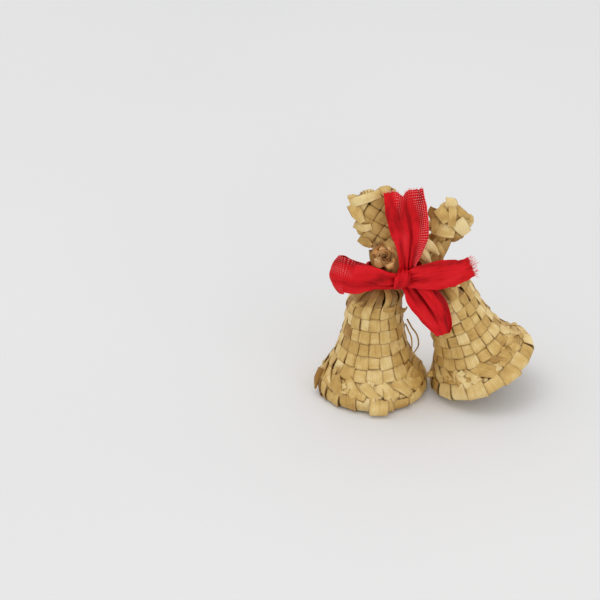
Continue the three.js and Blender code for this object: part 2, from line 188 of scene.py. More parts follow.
class NodeDesk:
    """Adds and links the shader nodes of one material."""

    def __init__(self, name: str) -> None:
        """Starts an empty node material with its shader and output."""
        self.material = bpy.data.materials.new(name)
        self.material.use_nodes = True
        self.tree = self.material.node_tree
        self.tree.nodes.clear()
        self.shader = self.add("ShaderNodeBsdfPrincipled")
        output = self.add("ShaderNodeOutputMaterial")
        self.link(self.shader, "BSDF", output, "Surface")

    def add(self, kind: str, **settings: object) -> Node:
        """Adds a node and gives its settings."""
        node = self.tree.nodes.new(kind)
        for key, value in settings.items():
            setattr(node, key, value)
        return node

    def link(self, source: Node, output: Socket, target: Node, socket: Socket) -> None:
        """Links one node's output to another node's input."""
        self.tree.links.new(source.outputs[output], target.inputs[socket])

    def stretched_noise(self, scale: tuple, detail: float = 3.0, roughness: float = 0.6) -> Node:
        """Adds noise along the piece's own UV map.

        Args:
            scale: How many patches fit a millimetre along, and the whole width across.
            detail: Levels of finer noise.
            roughness: Strength of the finer levels.

        Returns:
            The noise node.
        """
        place = self.add("ShaderNodeTexCoord")
        mapping = self.add("ShaderNodeMapping")
        mapping.inputs["Scale"].default_value = (scale[0], scale[1], 1)
        noise = self.add("ShaderNodeTexNoise", noise_dimensions="2D")
        noise.inputs["Scale"].default_value = 1
        noise.inputs["Detail"].default_value = detail
        noise.inputs["Roughness"].default_value = roughness
        self.link(place, "UV", mapping, "Vector")
        self.link(mapping, "Vector", noise, "Vector")
        return noise

    def sum(self, a: Node, out: Socket, factor: float, b: Node, out_b: Socket) -> Node:
        """Adds factor times (a - 0.5) to b."""
        node = self.add("ShaderNodeMath", operation="MULTIPLY_ADD")
        centred = self.add("ShaderNodeMath", operation="SUBTRACT")
        centred.inputs[1].default_value = 0.5
        self.link(a, out, centred, 0)
        self.link(centred, 0, node, 0)
        node.inputs[1].default_value = factor
        self.link(b, out_b, node, 2)
        return node

    def attribute(self, name: str) -> Node:
        """Reads a number that the piece carries at each vertex."""
        return self.add("ShaderNodeAttribute", attribute_type="GEOMETRY", attribute_name=name)

    def ramp(self, stops: list, source: Node, output: Socket) -> Node:
        """Turns a number into a colour.

        Args:
            stops: Pairs of a place from 0 to 1 and a linear colour.
            source: The node that gives the number.
            output: Its output.

        Returns:
            The colour ramp node.
        """
        node = self.add("ShaderNodeValToRGB")
        elements = node.color_ramp.elements
        while len(elements) < len(stops):
            elements.new(0.5)
        for element, (place, colour) in zip(elements, stops):
            element.position = place
            element.color = (*colour, 1)
        self.link(source, output, node, "Fac")
        return node

    def mix(self, a: Node, b: tuple, factor: Node, output: Socket) -> Node:
        """Blends a colour into a node's colour by a factor."""
        node = self.add("ShaderNodeMix", data_type="RGBA")
        self.link(a, "Color" if "Color" in a.outputs else MIX_RESULT, node, MIX_FROM)
        node.inputs[MIX_TO].default_value = (*b, 1)
        self.link(factor, output, node, 0)
        return node

    def band(self, source: Node, output: Socket, low: float, high: float, strength: float) -> Node:
        """Rises smoothly from 0 to strength while the source goes from low to high."""
        node = self.add("ShaderNodeMapRange", interpolation_type="SMOOTHSTEP")
        node.inputs["From Min"].default_value = low
        node.inputs["From Max"].default_value = high
        node.inputs["To Max"].default_value = strength
        self.link(source, output, node, "Value")
        return node

    def bump(self, source: Node, output: Socket, distance: float, strength: float) -> None:
        """Raises the surface by a number, and gives the shader its normal."""
        node = self.add("ShaderNodeBump")
        node.inputs["Strength"].default_value = strength
        node.inputs["Distance"].default_value = distance * MM
        self.link(source, output, node, "Height")
        self.link(node, "Normal", self.shader, "Normal")


@dataclass(frozen=True)
class StrawFinish:
    """Dry split straw: pale satin skin with fine fibres along it, edges darkened partly as the straw's own
    browner colour and partly as painted shade along the creases, and painted shade where straws are covered.
    """

    name: str = "dry_straw"
    shadowed: tuple = (0.34, 0.17, 0.035)
    golden: tuple = (0.52, 0.31, 0.078)
    plain: tuple = (0.67, 0.445, 0.142)
    cream: tuple = (0.86, 0.68, 0.33)
    # the colour of painted shade in creases; the straw edges are also darkened towards it
    crease: tuple = (0.15, 0.055, 0.010)
    stain: tuple = (0.42, 0.17, 0.05)
    fibre_scale: tuple = (0.10, 26.0)  # patches per millimetre along, and per width across
    blotch_scale: tuple = (0.22, 1.3)
    fibre_height: float = 0.05
    streaks: float = 0.7  # how much the fibres change the colour
    patchiness: float = 0.7  # how much the blotches change it

    def material(self) -> bpy.types.Material:
        """Builds the finish from the strip's own UV map, tone and painted shade."""
        desk = NodeDesk(self.name)
        fibres = desk.stretched_noise(self.fibre_scale, detail=4, roughness=0.65)
        blotches = desk.stretched_noise(self.blotch_scale, detail=3)
        tone = desk.attribute("tone")
        mixed = desk.sum(fibres, "Fac", self.streaks, tone, "Fac")
        mixed = desk.sum(blotches, "Fac", self.patchiness, mixed, 0)
        colour = desk.ramp(
            [(0.0, self.shadowed), (0.28, self.golden), (0.58, self.plain), (0.95, self.cream)], mixed, 0
        )
        stained = desk.band(desk.stretched_noise((0.5, 2.4)), "Fac", 0.66, 0.8, 0.55)
        colour = desk.mix(colour, self.stain, stained, 0)
        # edges darkened, partly the straw's own browner colour and partly painted shade along the creases
        brown_and_shaded_edges = desk.band(self._edge(desk), 0, 0.86, 1.0, 0.6)
        colour = desk.mix(colour, self.crease, brown_and_shaded_edges, 0)
        # painted shade from the shade attribute, in the crease colour
        hidden = desk.band(desk.attribute("shade"), "Fac", 0.15, 1.0, 0.72)
        colour = desk.mix(colour, self.crease, hidden, 0)
        desk.link(colour, MIX_RESULT, desk.shader, "Base Color")
        gloss = desk.band(fibres, "Fac", 0.2, 0.8, 0.2)
        gloss.inputs["To Min"].default_value = 0.62
        gloss.inputs["To Max"].default_value = 0.44
        desk.link(gloss, 0, desk.shader, "Roughness")
        desk.shader.inputs["Specular IOR Level"].default_value = 0.42
        desk.bump(fibres, "Fac", self.fibre_height, 0.8)
        return desk.material

    def _edge(self, desk: NodeDesk) -> Node:
        """Gives 0 along the straw's middle and 1 along its two edges."""
        place = desk.add("ShaderNodeTexCoord")
        parts = desk.add("ShaderNodeSeparateXYZ")
        desk.link(place, "UV", parts, "Vector")
        centred = desk.add("ShaderNodeMath", operation="MULTIPLY_ADD")
        centred.inputs[1].default_value = 2
        centred.inputs[2].default_value = -1
        desk.link(parts, "Y", centred, 0)
        edge = desk.add("ShaderNodeMath", operation="ABSOLUTE")
        desk.link(centred, 0, edge, 0)
        return edge


@dataclass(frozen=True)
class RibbonFinish:
    """Thin red cloth ribbon with a fine square weave that shows pale pinholes here and there, painted as light
    showing through the weave, and painted shade in its folds.
    """

    name: str = "red_ribbon_cloth"
    # darkest red of the cloth, also the painted shade colour in the folds
    deep: tuple = (0.27, 0.001, 0.003)
    red: tuple = (0.64, 0.006, 0.011)
    bright: tuple = (0.78, 0.016, 0.026)
    # painted light: the pale colour of light showing through the pinholes, also given to the frayed threads
    pinhole: tuple = (0.95, 0.45, 0.45)
    thread: float = 0.62  # millimetres from thread to thread
    thread_height: float = 0.05

    def material(self) -> bpy.types.Material:
        """Builds the finish from the ribbon's own UV map, in millimetres."""
        desk = NodeDesk(self.name)
        cloudy = desk.stretched_noise((0.09, 0.2), detail=3)
        slub = desk.stretched_noise((0.25, 3.2), detail=3)
        tone = desk.sum(slub, "Fac", 0.12, cloudy, "Fac")
        colour = desk.ramp([(0.2, self.deep), (0.5, self.red), (0.85, self.bright)], tone, 0)
        # painted shade in the folds, from the shade attribute
        folded = desk.band(desk.attribute("shade"), "Fac", 0.0, 1.0, 0.8)
        colour = desk.mix(colour, self.deep, folded, 0)
        # painted light through the pinholes where the weave is open
        holes = self._threads(desk)
        open_weave = desk.add("ShaderNodeMath", operation="MULTIPLY")
        desk.link(desk.band(holes, 0, 0.6, 0.92, 1.0), 0, open_weave, 0)
        desk.link(desk.band(desk.attribute("openness"), "Fac", 0.36, 0.8, 0.9), 0, open_weave, 1)
        colour = desk.mix(colour, self.pinhole, open_weave, 0)
        # the frayed threads are painted the same pale colour
        bare_threads = desk.band(desk.attribute("openness"), "Fac", 1.1, 1.6, 0.8)
        colour = desk.mix(colour, self.pinhole, bare_threads, 0)
        desk.link(colour, MIX_RESULT, desk.shader, "Base Color")
        desk.shader.inputs["Roughness"].default_value = 0.62
        desk.shader.inputs["Specular IOR Level"].default_value = 0.12
        desk.shader.inputs["Sheen Weight"].default_value = 0.02
        desk.shader.inputs["Sheen Roughness"].default_value = 0.4
        desk.shader.inputs["Sheen Tint"].default_value = (1.0, 0.25, 0.25, 1)
        desk.bump(holes, 0, self.thread_height, 0.5)
        return desk.material

    def _threads(self, desk: NodeDesk) -> Node:
        """Gives 1 in each hole between the threads and 0 on them."""
        place = desk.add("ShaderNodeTexCoord")
        parts = desk.add("ShaderNodeSeparateXYZ")
        desk.link(place, "UV", parts, "Vector")
        waves = []
        for axis in ("X", "Y"):
            angle = desk.add("ShaderNodeMath", operation="MULTIPLY")
            angle.inputs[1].default_value = math.pi / self.thread
            desk.link(parts, axis, angle, 0)
            wave = desk.add("ShaderNodeMath", operation="SINE")
            desk.link(angle, 0, wave, 0)
            square = desk.add("ShaderNodeMath", operation="MULTIPLY")
            desk.link(wave, 0, square, 0)
            desk.link(wave, 0, square, 1)
            waves.append(square)
        both = desk.add("ShaderNodeMath", operation="MULTIPLY")
        desk.link(waves[0], 0, both, 0)
        desk.link(waves[1], 0, both, 1)
        return both


@dataclass(frozen=True)
class TableFinish:
    """Plain pale table top."""

    name: str = "pale_table"
    pale: tuple = (0.80, 0.80, 0.80)
    cloud: tuple = (0.77, 0.77, 0.775)

    def material(self) -> bpy.types.Material:
        """Builds a matt surface that is very slightly cloudy."""
        desk = NodeDesk(self.name)
        place = desk.add("ShaderNodeTexCoord")
        noise = desk.add("ShaderNodeTexNoise")
        noise.inputs["Scale"].default_value = 3
        desk.link(place, "Object", noise, "Vector")
        colour = desk.ramp([(0.3, self.cloud), (0.7, self.pale)], noise, "Fac")
        desk.link(colour, "Color", desk.shader, "Base Color")
        desk.shader.inputs["Roughness"].default_value = 0.9
        desk.shader.inputs["Specular IOR Level"].default_value = 0.1
        return desk.material


# ---------------------------------------------------------------- laying flat strips


class StripBundle:
    """Flat strips that are laid one by one and joined into one piece with a real thickness."""

    _flats: dict = {}

    def __init__(self, name: str, thickness: float, seed: int) -> None:
        """Starts an empty bundle.

        Args:
            name: The finished piece's name.
            thickness: The strips' thickness in millimetres.
            seed: Seed of the piece's own random numbers.
        """
        self.name = name
        self.thickness = thickness
        self.rng = np.random.default_rng(seed)
        self.strips: list[bpy.types.Object] = []

    def _flat(self, along: int, across: int) -> tuple:
        """Models a flat grid of a size once, and gives its mesh and where each vertex lies in it."""
        key = (along, across)
        if key not in self._flats:
            deselect_all()
            bpy.ops.mesh.primitive_grid_add(x_subdivisions=along, y_subdivisions=across, size=1)
            flat = bpy.context.object
            places = np.empty(3 * len(flat.data.vertices))
            flat.data.vertices.foreach_get("co", places)
            columns = np.rint((places[0::3] + 0.5) * along).astype(int)
            rows = np.rint((places[1::3] + 0.5) * across).astype(int)
            corners = np.empty(len(flat.data.loops), int)
            flat.data.loops.foreach_get("vertex_index", corners)
            self._flats[key] = (flat.data, columns, rows, corners)
            bpy.data.objects.remove(flat)
        return self._flats[key]

    def lay(self, points: np.ndarray, tone: float | np.ndarray, shade: float | np.ndarray = 0.0,
            cloth_width: float = 0.0, openness: float | np.ndarray = 0.0) -> None:
        """Lays one strip.

        Args:
            points: Places in millimetres, by step along, step across, and x, y, z.
            tone: Paleness from 0 to 1; one number, one for each step along, or one for each place.
            shade: How much painted shade a place gets in creases, folds and under other strips, from 0 to 1,
                given in the same way.
            cloth_width: Full width of a cloth in millimetres, or 0 for a straw, whose UV map is 1 wide.
            openness: How open a cloth's weave is, which sets where painted light shows through its pinholes,
                from 0 to 1, and above 1 on bare threads, which are painted pale.
        """
        along, across = points.shape[0] - 1, points.shape[1] - 1
        flat, columns, rows, corners = self._flat(along, across)
        mesh = flat.copy()
        mesh.vertices.foreach_set("co", ((points + SHIFT) * MM)[columns, rows].ravel())
        lengths = distance_along(points[:, across // 2]) + self.rng.uniform(0, FIBRE_RUN)
        wide = cloth_width if cloth_width else 1.0
        uv = np.stack([lengths[columns[corners]], rows[corners] / across * wide], axis=1)
        mesh.uv_layers[0].data.foreach_set("uv", uv.ravel())
        for label, values in (("tone", tone), ("shade", shade), ("openness", openness)):
            by_step = np.reshape(values, (-1, 1)) if np.ndim(values) < 2 else values
            grid = np.broadcast_to(np.asarray(by_step, float), (along + 1, across + 1))
            layer = mesh.attributes.new(label, "FLOAT", "POINT")
            layer.data.foreach_set("value", grid[columns, rows].ravel())
        strip = bpy.data.objects.new(self.name, mesh)
        bpy.context.scene.collection.objects.link(strip)
        self.strips.append(strip)

    def join(self, material: bpy.types.Material, sharp: float = 42.0) -> bpy.types.Object:
        """Joins the strips, gives them their thickness and smooths them.

        Args:
            material: The finish.
            sharp: Faces that meet at more than this angle in degrees keep a crisp edge.

        Returns:
            The finished piece.
        """
        deselect_all()
        for strip in self.strips:
            strip.select_set(True)
        piece = self.strips[0]
        bpy.context.view_layer.objects.active = piece
        bpy.ops.object.join()
        piece.name = piece.data.name = self.name
        piece.data.materials.clear()
        piece.data.materials.append(material)
        bpy.ops.object.modifier_add(type="SOLIDIFY")
        wall = piece.modifiers[-1]
        wall.thickness = self.thickness * MM
        wall.offset = 0
        bpy.ops.object.modifier_apply(modifier=wall.name)
        bpy.ops.object.shade_smooth_by_angle(angle=math.radians(sharp))
        LOG.info("%s: %d strips, %d faces", self.name, len(self.strips), len(piece.data.polygons))
        self.strips = []
        return piece


def belongs(piece: bpy.types.Object, node: str) -> bpy.types.Object:
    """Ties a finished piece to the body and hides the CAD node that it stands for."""
    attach(piece, BODY)
    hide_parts(node)
    return piece


# ---------------------------------------------------------------- woven bells


@dataclass(frozen=True)
class StrayEnd:
    """A straw's end that has come loose on a bell: where it starts, how it lies and how it curls."""

    turn: float  # degrees round the axis, 270 faces the front
    height: float  # along the axis, in millimetres
    bearing: float  # degrees; 0 runs up the bell and 90 runs round it to the right
    length: float
    width: float
    rise: float  # how far its tip stands off the bell
    curl: float = 0.0  # turns that its tip rolls up
    tone: float = 0.6


@dataclass
class WovenBell:
    """A hollow bell of upright stakes and woven rings, with a folded border and a gathered neck."""

    name: str
    node: str
    place: tuple
    mouth_radius: float
    border_radius: float
    hem_radius: float
    waist_radius: float
    flare_length: float
    shoulder_at: float
    neck_top: float
    neck_shift: float = 0.0
    tilt: float = 0.0  # degrees, towards the other bell
    lean: float = 0.0  # degrees
    seed: int = 1
    border_height: float = 5.2
    shoulder_rise: float = 4.2
    neck_radius: float = 3.2
    row_target: float = 4.3  # height of a row before the rows are fitted to the bell
    stray_ends: tuple = ()
    loose_straws: tuple = ()
    bundle: StripBundle = field(init=False)

    def __post_init__(self) -> None:
        """Works out the section that all the straws follow, and the size of a row."""
        self.bundle = StripBundle(self.name, STRAW_THICKNESS, self.seed)
        self.rows = round((self.shoulder_at - self.border_height) / self.row_target)
        self.row_height = (self.shoulder_at - self.border_height) / self.rows
        corners = self._section_corners()
        line = smooth_path(corners, 40 * len(corners))
        lowest = int(np.argmin(line[:, 1]))
        self.section_reach = distance_along(line) - distance_along(line)[lowest]
        slope = unit(np.gradient(line, axis=0))
        self.section = line
        self.section_normal = np.stack([slope[:, 1], -slope[:, 0]], axis=1)
        self.outside = slice(lowest, None)
        self.top_reach = float(self.section_reach[-1])

    def _body_radius(self, height: float) -> float:
        """Gives the middle of the woven wall, which flares out like a horn."""
        flare = self.hem_radius - self.waist_radius
        return self.waist_radius + flare * math.exp(-(height - self.border_height) / self.flare_length)

    def _section_corners(self) -> list:
        """Lists radius and height of the wall's middle, from inside the mouth up to the neck's top.

        The first seven places fold the border round the mouth. Then come the flared wall, three
        places of an arc over the shoulder, and the straight neck.
        """
        mouth, rise = self.mouth_radius - 0.7, self.shoulder_rise
        inside = min(self.hem_radius - 1.4, mouth - 2.2)
        corners = [(inside, 5.4), (inside + 0.1, 3.4), (mouth - 1.9, 1.5), (mouth - 1.2, 0.62)]
        corners += [(mouth - 0.4, 0.75), (mouth, 1.6), ((mouth + self.border_radius) / 2, 3.0)]
        for height in np.arange(self.border_height, self.shoulder_at + 0.1, 2.1):
            corners.append((self._body_radius(height), float(height)))
        shoulder = self._body_radius(self.shoulder_at)
        for angle in (62, 38, 14):
            across, up = math.sin(math.radians(angle)), math.cos(math.radians(angle))
            radius = self.neck_radius + (shoulder - self.neck_radius) * across
            corners.append((radius, self.shoulder_at + rise * up))
        corners.append((self.neck_radius, self.shoulder_at + rise + 1.8))
        corners.append((self.neck_radius, self.neck_top - 0.3))
        return corners

    def reach_at(self, height: float | np.ndarray) -> np.ndarray:
        """Gives the distance up the outside, from the mouth's lowest line, at a height."""
        return np.interp(height, self.section[self.outside, 1], self.section_reach[self.outside])

    def height_at(self, reach: np.ndarray) -> np.ndarray:
        """Gives the height at a distance up the outside."""
        return np.interp(reach, self.section_reach, self.section[:, 1])

    def radius_at(self, reach: np.ndarray) -> np.ndarray:
        """Gives the radius at a distance up the outside."""
        return np.interp(reach, self.section_reach, self.section[:, 0])

    def on_shell(self, turn: np.ndarray, reach: np.ndarray, lift: np.ndarray) -> np.ndarray:
        """Finds places on the bell's shell.

        Args:
            turn: Angle round the axis in radians.
            reach: Distance up the outside from the mouth's lowest line; below 0 it goes up inside.
            lift: Height in front of the shell's middle.

        Returns:
            Places in millimetres, in the part's drawing.
        """
        out, up = (np.interp(reach, self.section_reach, self.section_normal[:, k]) for k in (0, 1))
        radius = self.radius_at(reach) + lift * out
        height = self.height_at(reach) + lift * up
        below, above = 4, 7  # the neck is drawn sideways between these distances from the shoulder
        drawn = self.neck_shift * smoothstep(height, self.shoulder_at - below, self.shoulder_at + above)
        local = np.stack([radius * np.cos(turn) + drawn, radius * np.sin(turn), height], axis=-1)
        places = turned(local, math.radians(self.lean), -math.radians(self.tilt)) + np.array(self.place)
        places[..., 2] = np.maximum(places[..., 2], STRAW_THICKNESS)
        return places

    def strip_on_shell(self, turn: np.ndarray, reach: np.ndarray, width: np.ndarray, lift: np.ndarray,
                       slant: np.ndarray | float = 0.0, crown: np.ndarray | float = STRAW_CROWN,
                       across: int = 4, flat: float = 1.0) -> np.ndarray:
        """Lays a strip's grid along a line on the shell.

        Args:
            turn: The middle line's angle at each step.
            reach: The middle line's distance up the outside at each step.
            width: The strip's width at each step.
            lift: The middle line's lift at each step.
            slant: How much one edge stands higher than the other, as a slope.
            crown: How far the edges lie behind the middle.
            across: Faces across the strip.
            flat: 1 for a stiff straw that doesn't bend round the bell, 0 for one that follows it.

        Returns:
            Places by step along, step across, and x, y, z.
        """
        radius = self.radius_at(reach)
        heading = unit(np.stack([np.gradient(turn) * radius, np.gradient(reach)], axis=1))
        side = np.linspace(-1, 1, across + 1)
        offset = np.outer(np.broadcast_to(width, turn.shape) / 2, side)
        turn_by = -heading[:, 1:2] * offset / np.maximum(radius, 1)[:, None]
        reaches = reach[:, None] + heading[:, 0:1] * offset
        slants = np.broadcast_to(slant, turn.shape)[:, None] * offset
        crowns = np.broadcast_to(crown, turn.shape)[:, None] * side[None, :] ** 2
        chord = flat * radius[:, None] * turn_by**2 / 2
        lifts = np.asarray(lift)[:, None] + slants - crowns + chord
        return self.on_shell(turn[:, None] + turn_by, reaches, lifts)

    def _pitch(self, reach: np.ndarray) -> np.ndarray:
        """Gives the distance from stake to stake."""
        return 2 * math.pi * self.radius_at(reach) / STAKES

    def lay_stakes(self) -> None:
        """Lays the upright stakes, over and under the rings, then gathered over the shoulder."""
        rng = self.bundle.rng
        under_border = 2.6
        reach = np.linspace(float(self.reach_at(under_border)), self.top_reach, STAKE_POINTS)
        row = (self.height_at(reach) - self.border_height) / self.row_height - 0.5
        gathered = smoothstep(row, self.rows - 0.8, self.rows - 0.1)
        hidden = smoothstep(row, -0.5, -1.0)
        for stake in range(STAKES):
            is_even = stake % 2 == 0
            side_up = 1 if is_even else -1
            over = plateau(np.cos(math.pi * row) * side_up + 0.12)
            over = over * (1 - gathered) * (1 - hidden) - hidden
            weave_width = self._pitch(reach) * (0.97 + 0.09 * over + uneven(rng, row, 0.05))
            bunch_width = np.minimum(rng.uniform(1.9, 2.9), self._pitch(reach) * (1.5 if is_even else 1.05))
            width = weave_width * (1 - gathered) + bunch_width * gathered
            standing = rng.uniform(0.45, 0.95) if is_even else rng.uniform(-0.35, 0.25)
            lower_end = FLOAT_TILT * np.sin(math.pi * row) * -side_up * (1 - gathered)
            lift = WEAVE_DEPTH * over + gathered * standing + lower_end + uneven(rng, row, 0.07)
            slant = uneven(rng, row, 0.055) * (1 - gathered) + gathered * rng.normal(0, 0.3)
            crown = STRAW_CROWN + gathered * (0.3 if is_even else 0.1)
            turn = 2 * math.pi * (stake + 0.5) / STAKES + uneven(rng, row, 0.016)
            turn = turn + smoothstep(row, self.rows - 0.3, self.rows + 3) * rng.normal(0, 0.10)
            tone = rng.uniform(0.30, 0.72) + uneven(rng, row, 0.15) - rng.uniform(0.1, 0.5) * gathered
            # painted shade where a ring covers the stake; on the shoulder, light painted shade on the wide
            # even stakes and deep painted shade on the narrow odd ones beneath them
            shade = covered(over) * (1 - gathered) + gathered * (0.10 if is_even else 0.75)
            self.bundle.lay(self.strip_on_shell(turn, reach, width, lift, slant, crown), tone, shade)

    def lay_rings(self) -> None:
        """Lays the rings of weaving, each one over the stakes that the last went under."""
        rng = self.bundle.rng
        step = 2 * math.pi / STAKES
        for ring in range(self.rows):
            place = np.linspace(0, STAKES + 0.4, RING_POINTS * STAKES)  # its ends lap over a little
            over = -plateau(np.cos(math.pi * place))
            turn = step * (place + 0.5 + ring % 2)
            low = self.reach_at(self.border_height + ring * self.row_height)
            high = self.reach_at(self.border_height + (ring + 1) * self.row_height)
            middle = (low + high) / 2 + uneven(rng, place, 0.2)
            width = (high - low) * (0.86 + 0.06 * over + uneven(rng, place, 0.05))
            tuck = -0.2 * smoothstep(place, STAKES - 0.6, STAKES)
            from_middle = (place - 1) / 2 - np.round((place - 1) / 2)
            straight = self.radius_at(middle) * (2 * from_middle * step) ** 2 / 2 * np.clip(over, 0, 1)
            lift = WEAVE_DEPTH * over + tuck + straight + uneven(rng, place, 0.05)
            tone = rng.uniform(0.32, 0.72) + uneven(rng, place, 0.17)
            slant = uneven(rng, place, 0.07) + RING_SLANT
            points = self.strip_on_shell(turn, middle, width, lift, slant, flat=0)
            # painted shade where a stake covers the ring
            self.bundle.lay(points, tone, covered(over))

    def lay_border(self) -> None:
        """Folds each stake's end round the mouth, as the tabs of the border."""
        rng = self.bundle.rng
        step = 2 * math.pi / STAKES
        inside = 4.6
        for tab in range(STAKES):
            turn_at = step * (tab + rng.uniform(-0.08, 0.08))
            top = 4.9 + rng.uniform(-0.8, 0.9)
            reach = np.linspace(float(self.reach_at(top)), -inside, 26)
            share = np.linspace(0, 1, len(reach))
            turn = turn_at + step * (rng.normal(0, 0.16) * share + 0.05 * np.sin(3 * share))
            width = self._pitch(reach) * (1.02 + rng.normal(0, 0.08)) - 0.9 * smoothstep(share, 0.6, 1)
            puffed = 0.2 * np.sin(math.pi * np.clip(share * 1.8, 0, 1))
            lift = 0.30 + puffed - 0.35 * smoothstep(share, 0.5, 0.9)
            lift = lift + rng.normal(0, 0.12) * (1 - smoothstep(share, 0.35, 0.8))
            lift = lift + rng.uniform(-0.2, 0.7) * np.sin(math.pi * np.clip(share * 1.6 - 0.3, 0, 1))
            slant = rng.choice([0.10, 0.07, -0.05], p=[0.55, 0.25, 0.2]) * (1 - 0.6 * share)
            tone = rng.uniform(0.35, 0.78) + uneven(rng, share * 3, 0.1)
            # painted shade: darker where the tab turns in under the mouth and at its top, where it comes out
            # from under the weave
            shade = 0.3 * smoothstep(share, 0.45, 0.9) + 0.35 * (1 - smoothstep(share, 0.0, 0.05))
            self.bundle.lay(self.strip_on_shell(turn, reach, width, lift, slant, 0.1, across=6), tone, shade)

    def lay_flaps(self) -> None:
        """Lays a slanting straw end above every tab of the border."""
        rng = self.bundle.rng
        step = 2 * math.pi / STAKES
        for flap in range(STAKES):
            start = step * (flap + rng.uniform(-0.15, 0.15))
            share = np.linspace(0, 1, 20)
            turn = start + step * (-0.45 + rng.uniform(1.15, 1.4) * share)
            high = self.border_height + rng.uniform(0.8, 1.25) * self.row_height
            low = rng.uniform(3.2, 4.4)
            reach = self.reach_at(high - (high - low) * share**1.2)
            width = rng.uniform(3.4, 5.0) * (1 - 0.35 * share**2)
            arch = np.sin(math.pi * np.clip(0.1 + 0.85 * share, 0, 1))
            lift = -0.3 + rng.uniform(0.9, 1.3) * arch
            slant = rng.uniform(-0.02, 0.16)
            tone = rng.uniform(0.3, 0.78) + uneven(rng, share * 3, 0.12)
            # painted shade at both ends, where the flap dives under other straws
            shade = 0.75 * (1 - smoothstep(arch, 0.3, 0.75))
            self.bundle.lay(self.strip_on_shell(turn, reach, width, lift, slant, 0.08), tone, shade)

    def lay_stray_ends(self) -> None:
        """Lays the loose straw ends that stand off the weave."""
        rng = self.bundle.rng
        clear = 0.35
        for end in self.stray_ends:
            share = np.linspace(0, 1, 16)
            bearing = math.radians(end.bearing)
            start = float(self.reach_at(end.height))
            along = end.length * share
            radius = float(self.radius_at(np.array(start)))
            turn = math.radians(end.turn) + math.sin(bearing) * along / radius
            reach = start + math.cos(bearing) * along
            lift = clear + end.rise * share**1.6
            if end.curl:
                spin = 2 * math.pi * end.curl * share
                roll = end.length / (2 * math.pi * end.curl) * (1 - 0.35 * share)
                turn = math.radians(end.turn) + math.sin(bearing) * roll * np.sin(spin) / radius
                reach = start + math.cos(bearing) * roll * np.sin(spin)
                lift = clear + roll * (1 - np.cos(spin)) + end.rise * share
            width = end.width * (1 - 0.25 * share)
            points = self.strip_on_shell(turn, reach, width, lift, 0.05, 0.1, flat=0.5)
            # painted shade, deepest where the end leaves the weave
            self.bundle.lay(points, end.tone + uneven(rng, share * 3, 0.08), 0.25 * (1 - share))

    def build(self, material: bpy.types.Material) -> bpy.types.Object:
        """Lays every straw of the bell and joins them.

        Args:
            material: The straw finish.

        Returns:
            The finished bell.
        """
        self.lay_stakes()
        self.lay_rings()
        self.lay_border()
        self.lay_flaps()
        self.lay_stray_ends()
        for straw in self.loose_straws:
            straw.lay(self.bundle)
        return belongs(self.bundle.join(material), self.node)


# ---------------------------------------------------------------- loose straws


@dataclass(frozen=True)
class LooseStraw:
    """A short straw that runs through places, with its width, its fold and its paleness."""

    path: tuple
    width: float
    facing: tuple = (0, -1, 0.3)
    fold: float = 0.3  # how far its middle ridge stands out
    tip: float = 0.4  # width at its end as a share
    tone: float = 0.5
    # painted shade over the whole straw
    shade: float = 0.1

    def lay(self, bundle: StripBundle) -> None:
        """Lays the straw in a bundle."""
        steps = 20
        line = smooth_path(self.path, steps)
        share = np.linspace(0, 1, steps)
        heading = unit(np.gradient(line, axis=0))
        sideways = unit(np.cross(heading, np.array(self.facing, float)))
        outward = np.cross(sideways, heading)
        side = np.linspace(-1, 1, 5)
        widths = self.width * (1 - (1 - self.tip) * smoothstep(share, 0.45, 1))
        points = line[:, None, :] + sideways[:, None, :] * np.outer(widths / 2, side)[..., None]
        ridge = self.fold * (1 - np.abs(side))[None, :] * np.ones((steps, 1))
        points = points + outward[:, None, :] * ridge[..., None]
        tone = self.tone + uneven(bundle.rng, share * 3, 0.1)
        # painted shade, deeper towards the straw's start
        bundle.lay(points, tone, self.shade + 0.3 * (1 - smoothstep(share, 0, 0.4)))


def lay_core(bundle: StripBundle, foot: tuple, head: tuple, radius: float, straws: int) -> None:
    """Lays a twisted bunch of straws, which joins a neck to the plait above it.

    Args:
        bundle: The strips to add to.
        foot: The bottom of its axis.
        head: The top of its axis.
        radius: Its radius.
        straws: How many straws stand round it.
    """
    rng = bundle.rng
    foot, head = np.array(foot), np.array(head)
    side = np.linspace(-1, 1, 5)
    for index in range(straws):
        share = np.linspace(0, 1, 20)
        start = 2 * math.pi * (index + rng.uniform(-0.2, 0.2)) / straws
        angle = start + rng.uniform(0.4, 0.9) * share
        reach = radius * (1 - 0.12 * share) + rng.uniform(-0.35, 0.35) + 0.3 * np.sin(math.pi * share)
        turn = angle[:, None] + 0.42 * side[None, :]
        rim = reach[:, None] * np.ones_like(turn) + 0.3 * side[None, :] * rng.choice([-1, 1])
        centre = foot + (head - foot) * share[:, None]
        points = centre[:, None, :] + np.stack([rim * np.cos(turn), rim * np.sin(turn), 0 * turn], axis=-1)
        # painted shade, deeper towards the foot of the bunch
        bundle.lay(points, rng.uniform(0.25, 0.7), 0.2 + 0.3 * (1 - share))


# ---------------------------------------------------------------- plaited knobs


class Lay(Enum):
    """Which way a diagonal straw climbs round a plaited tube."""

    RIGHT = 1
    LEFT = -1


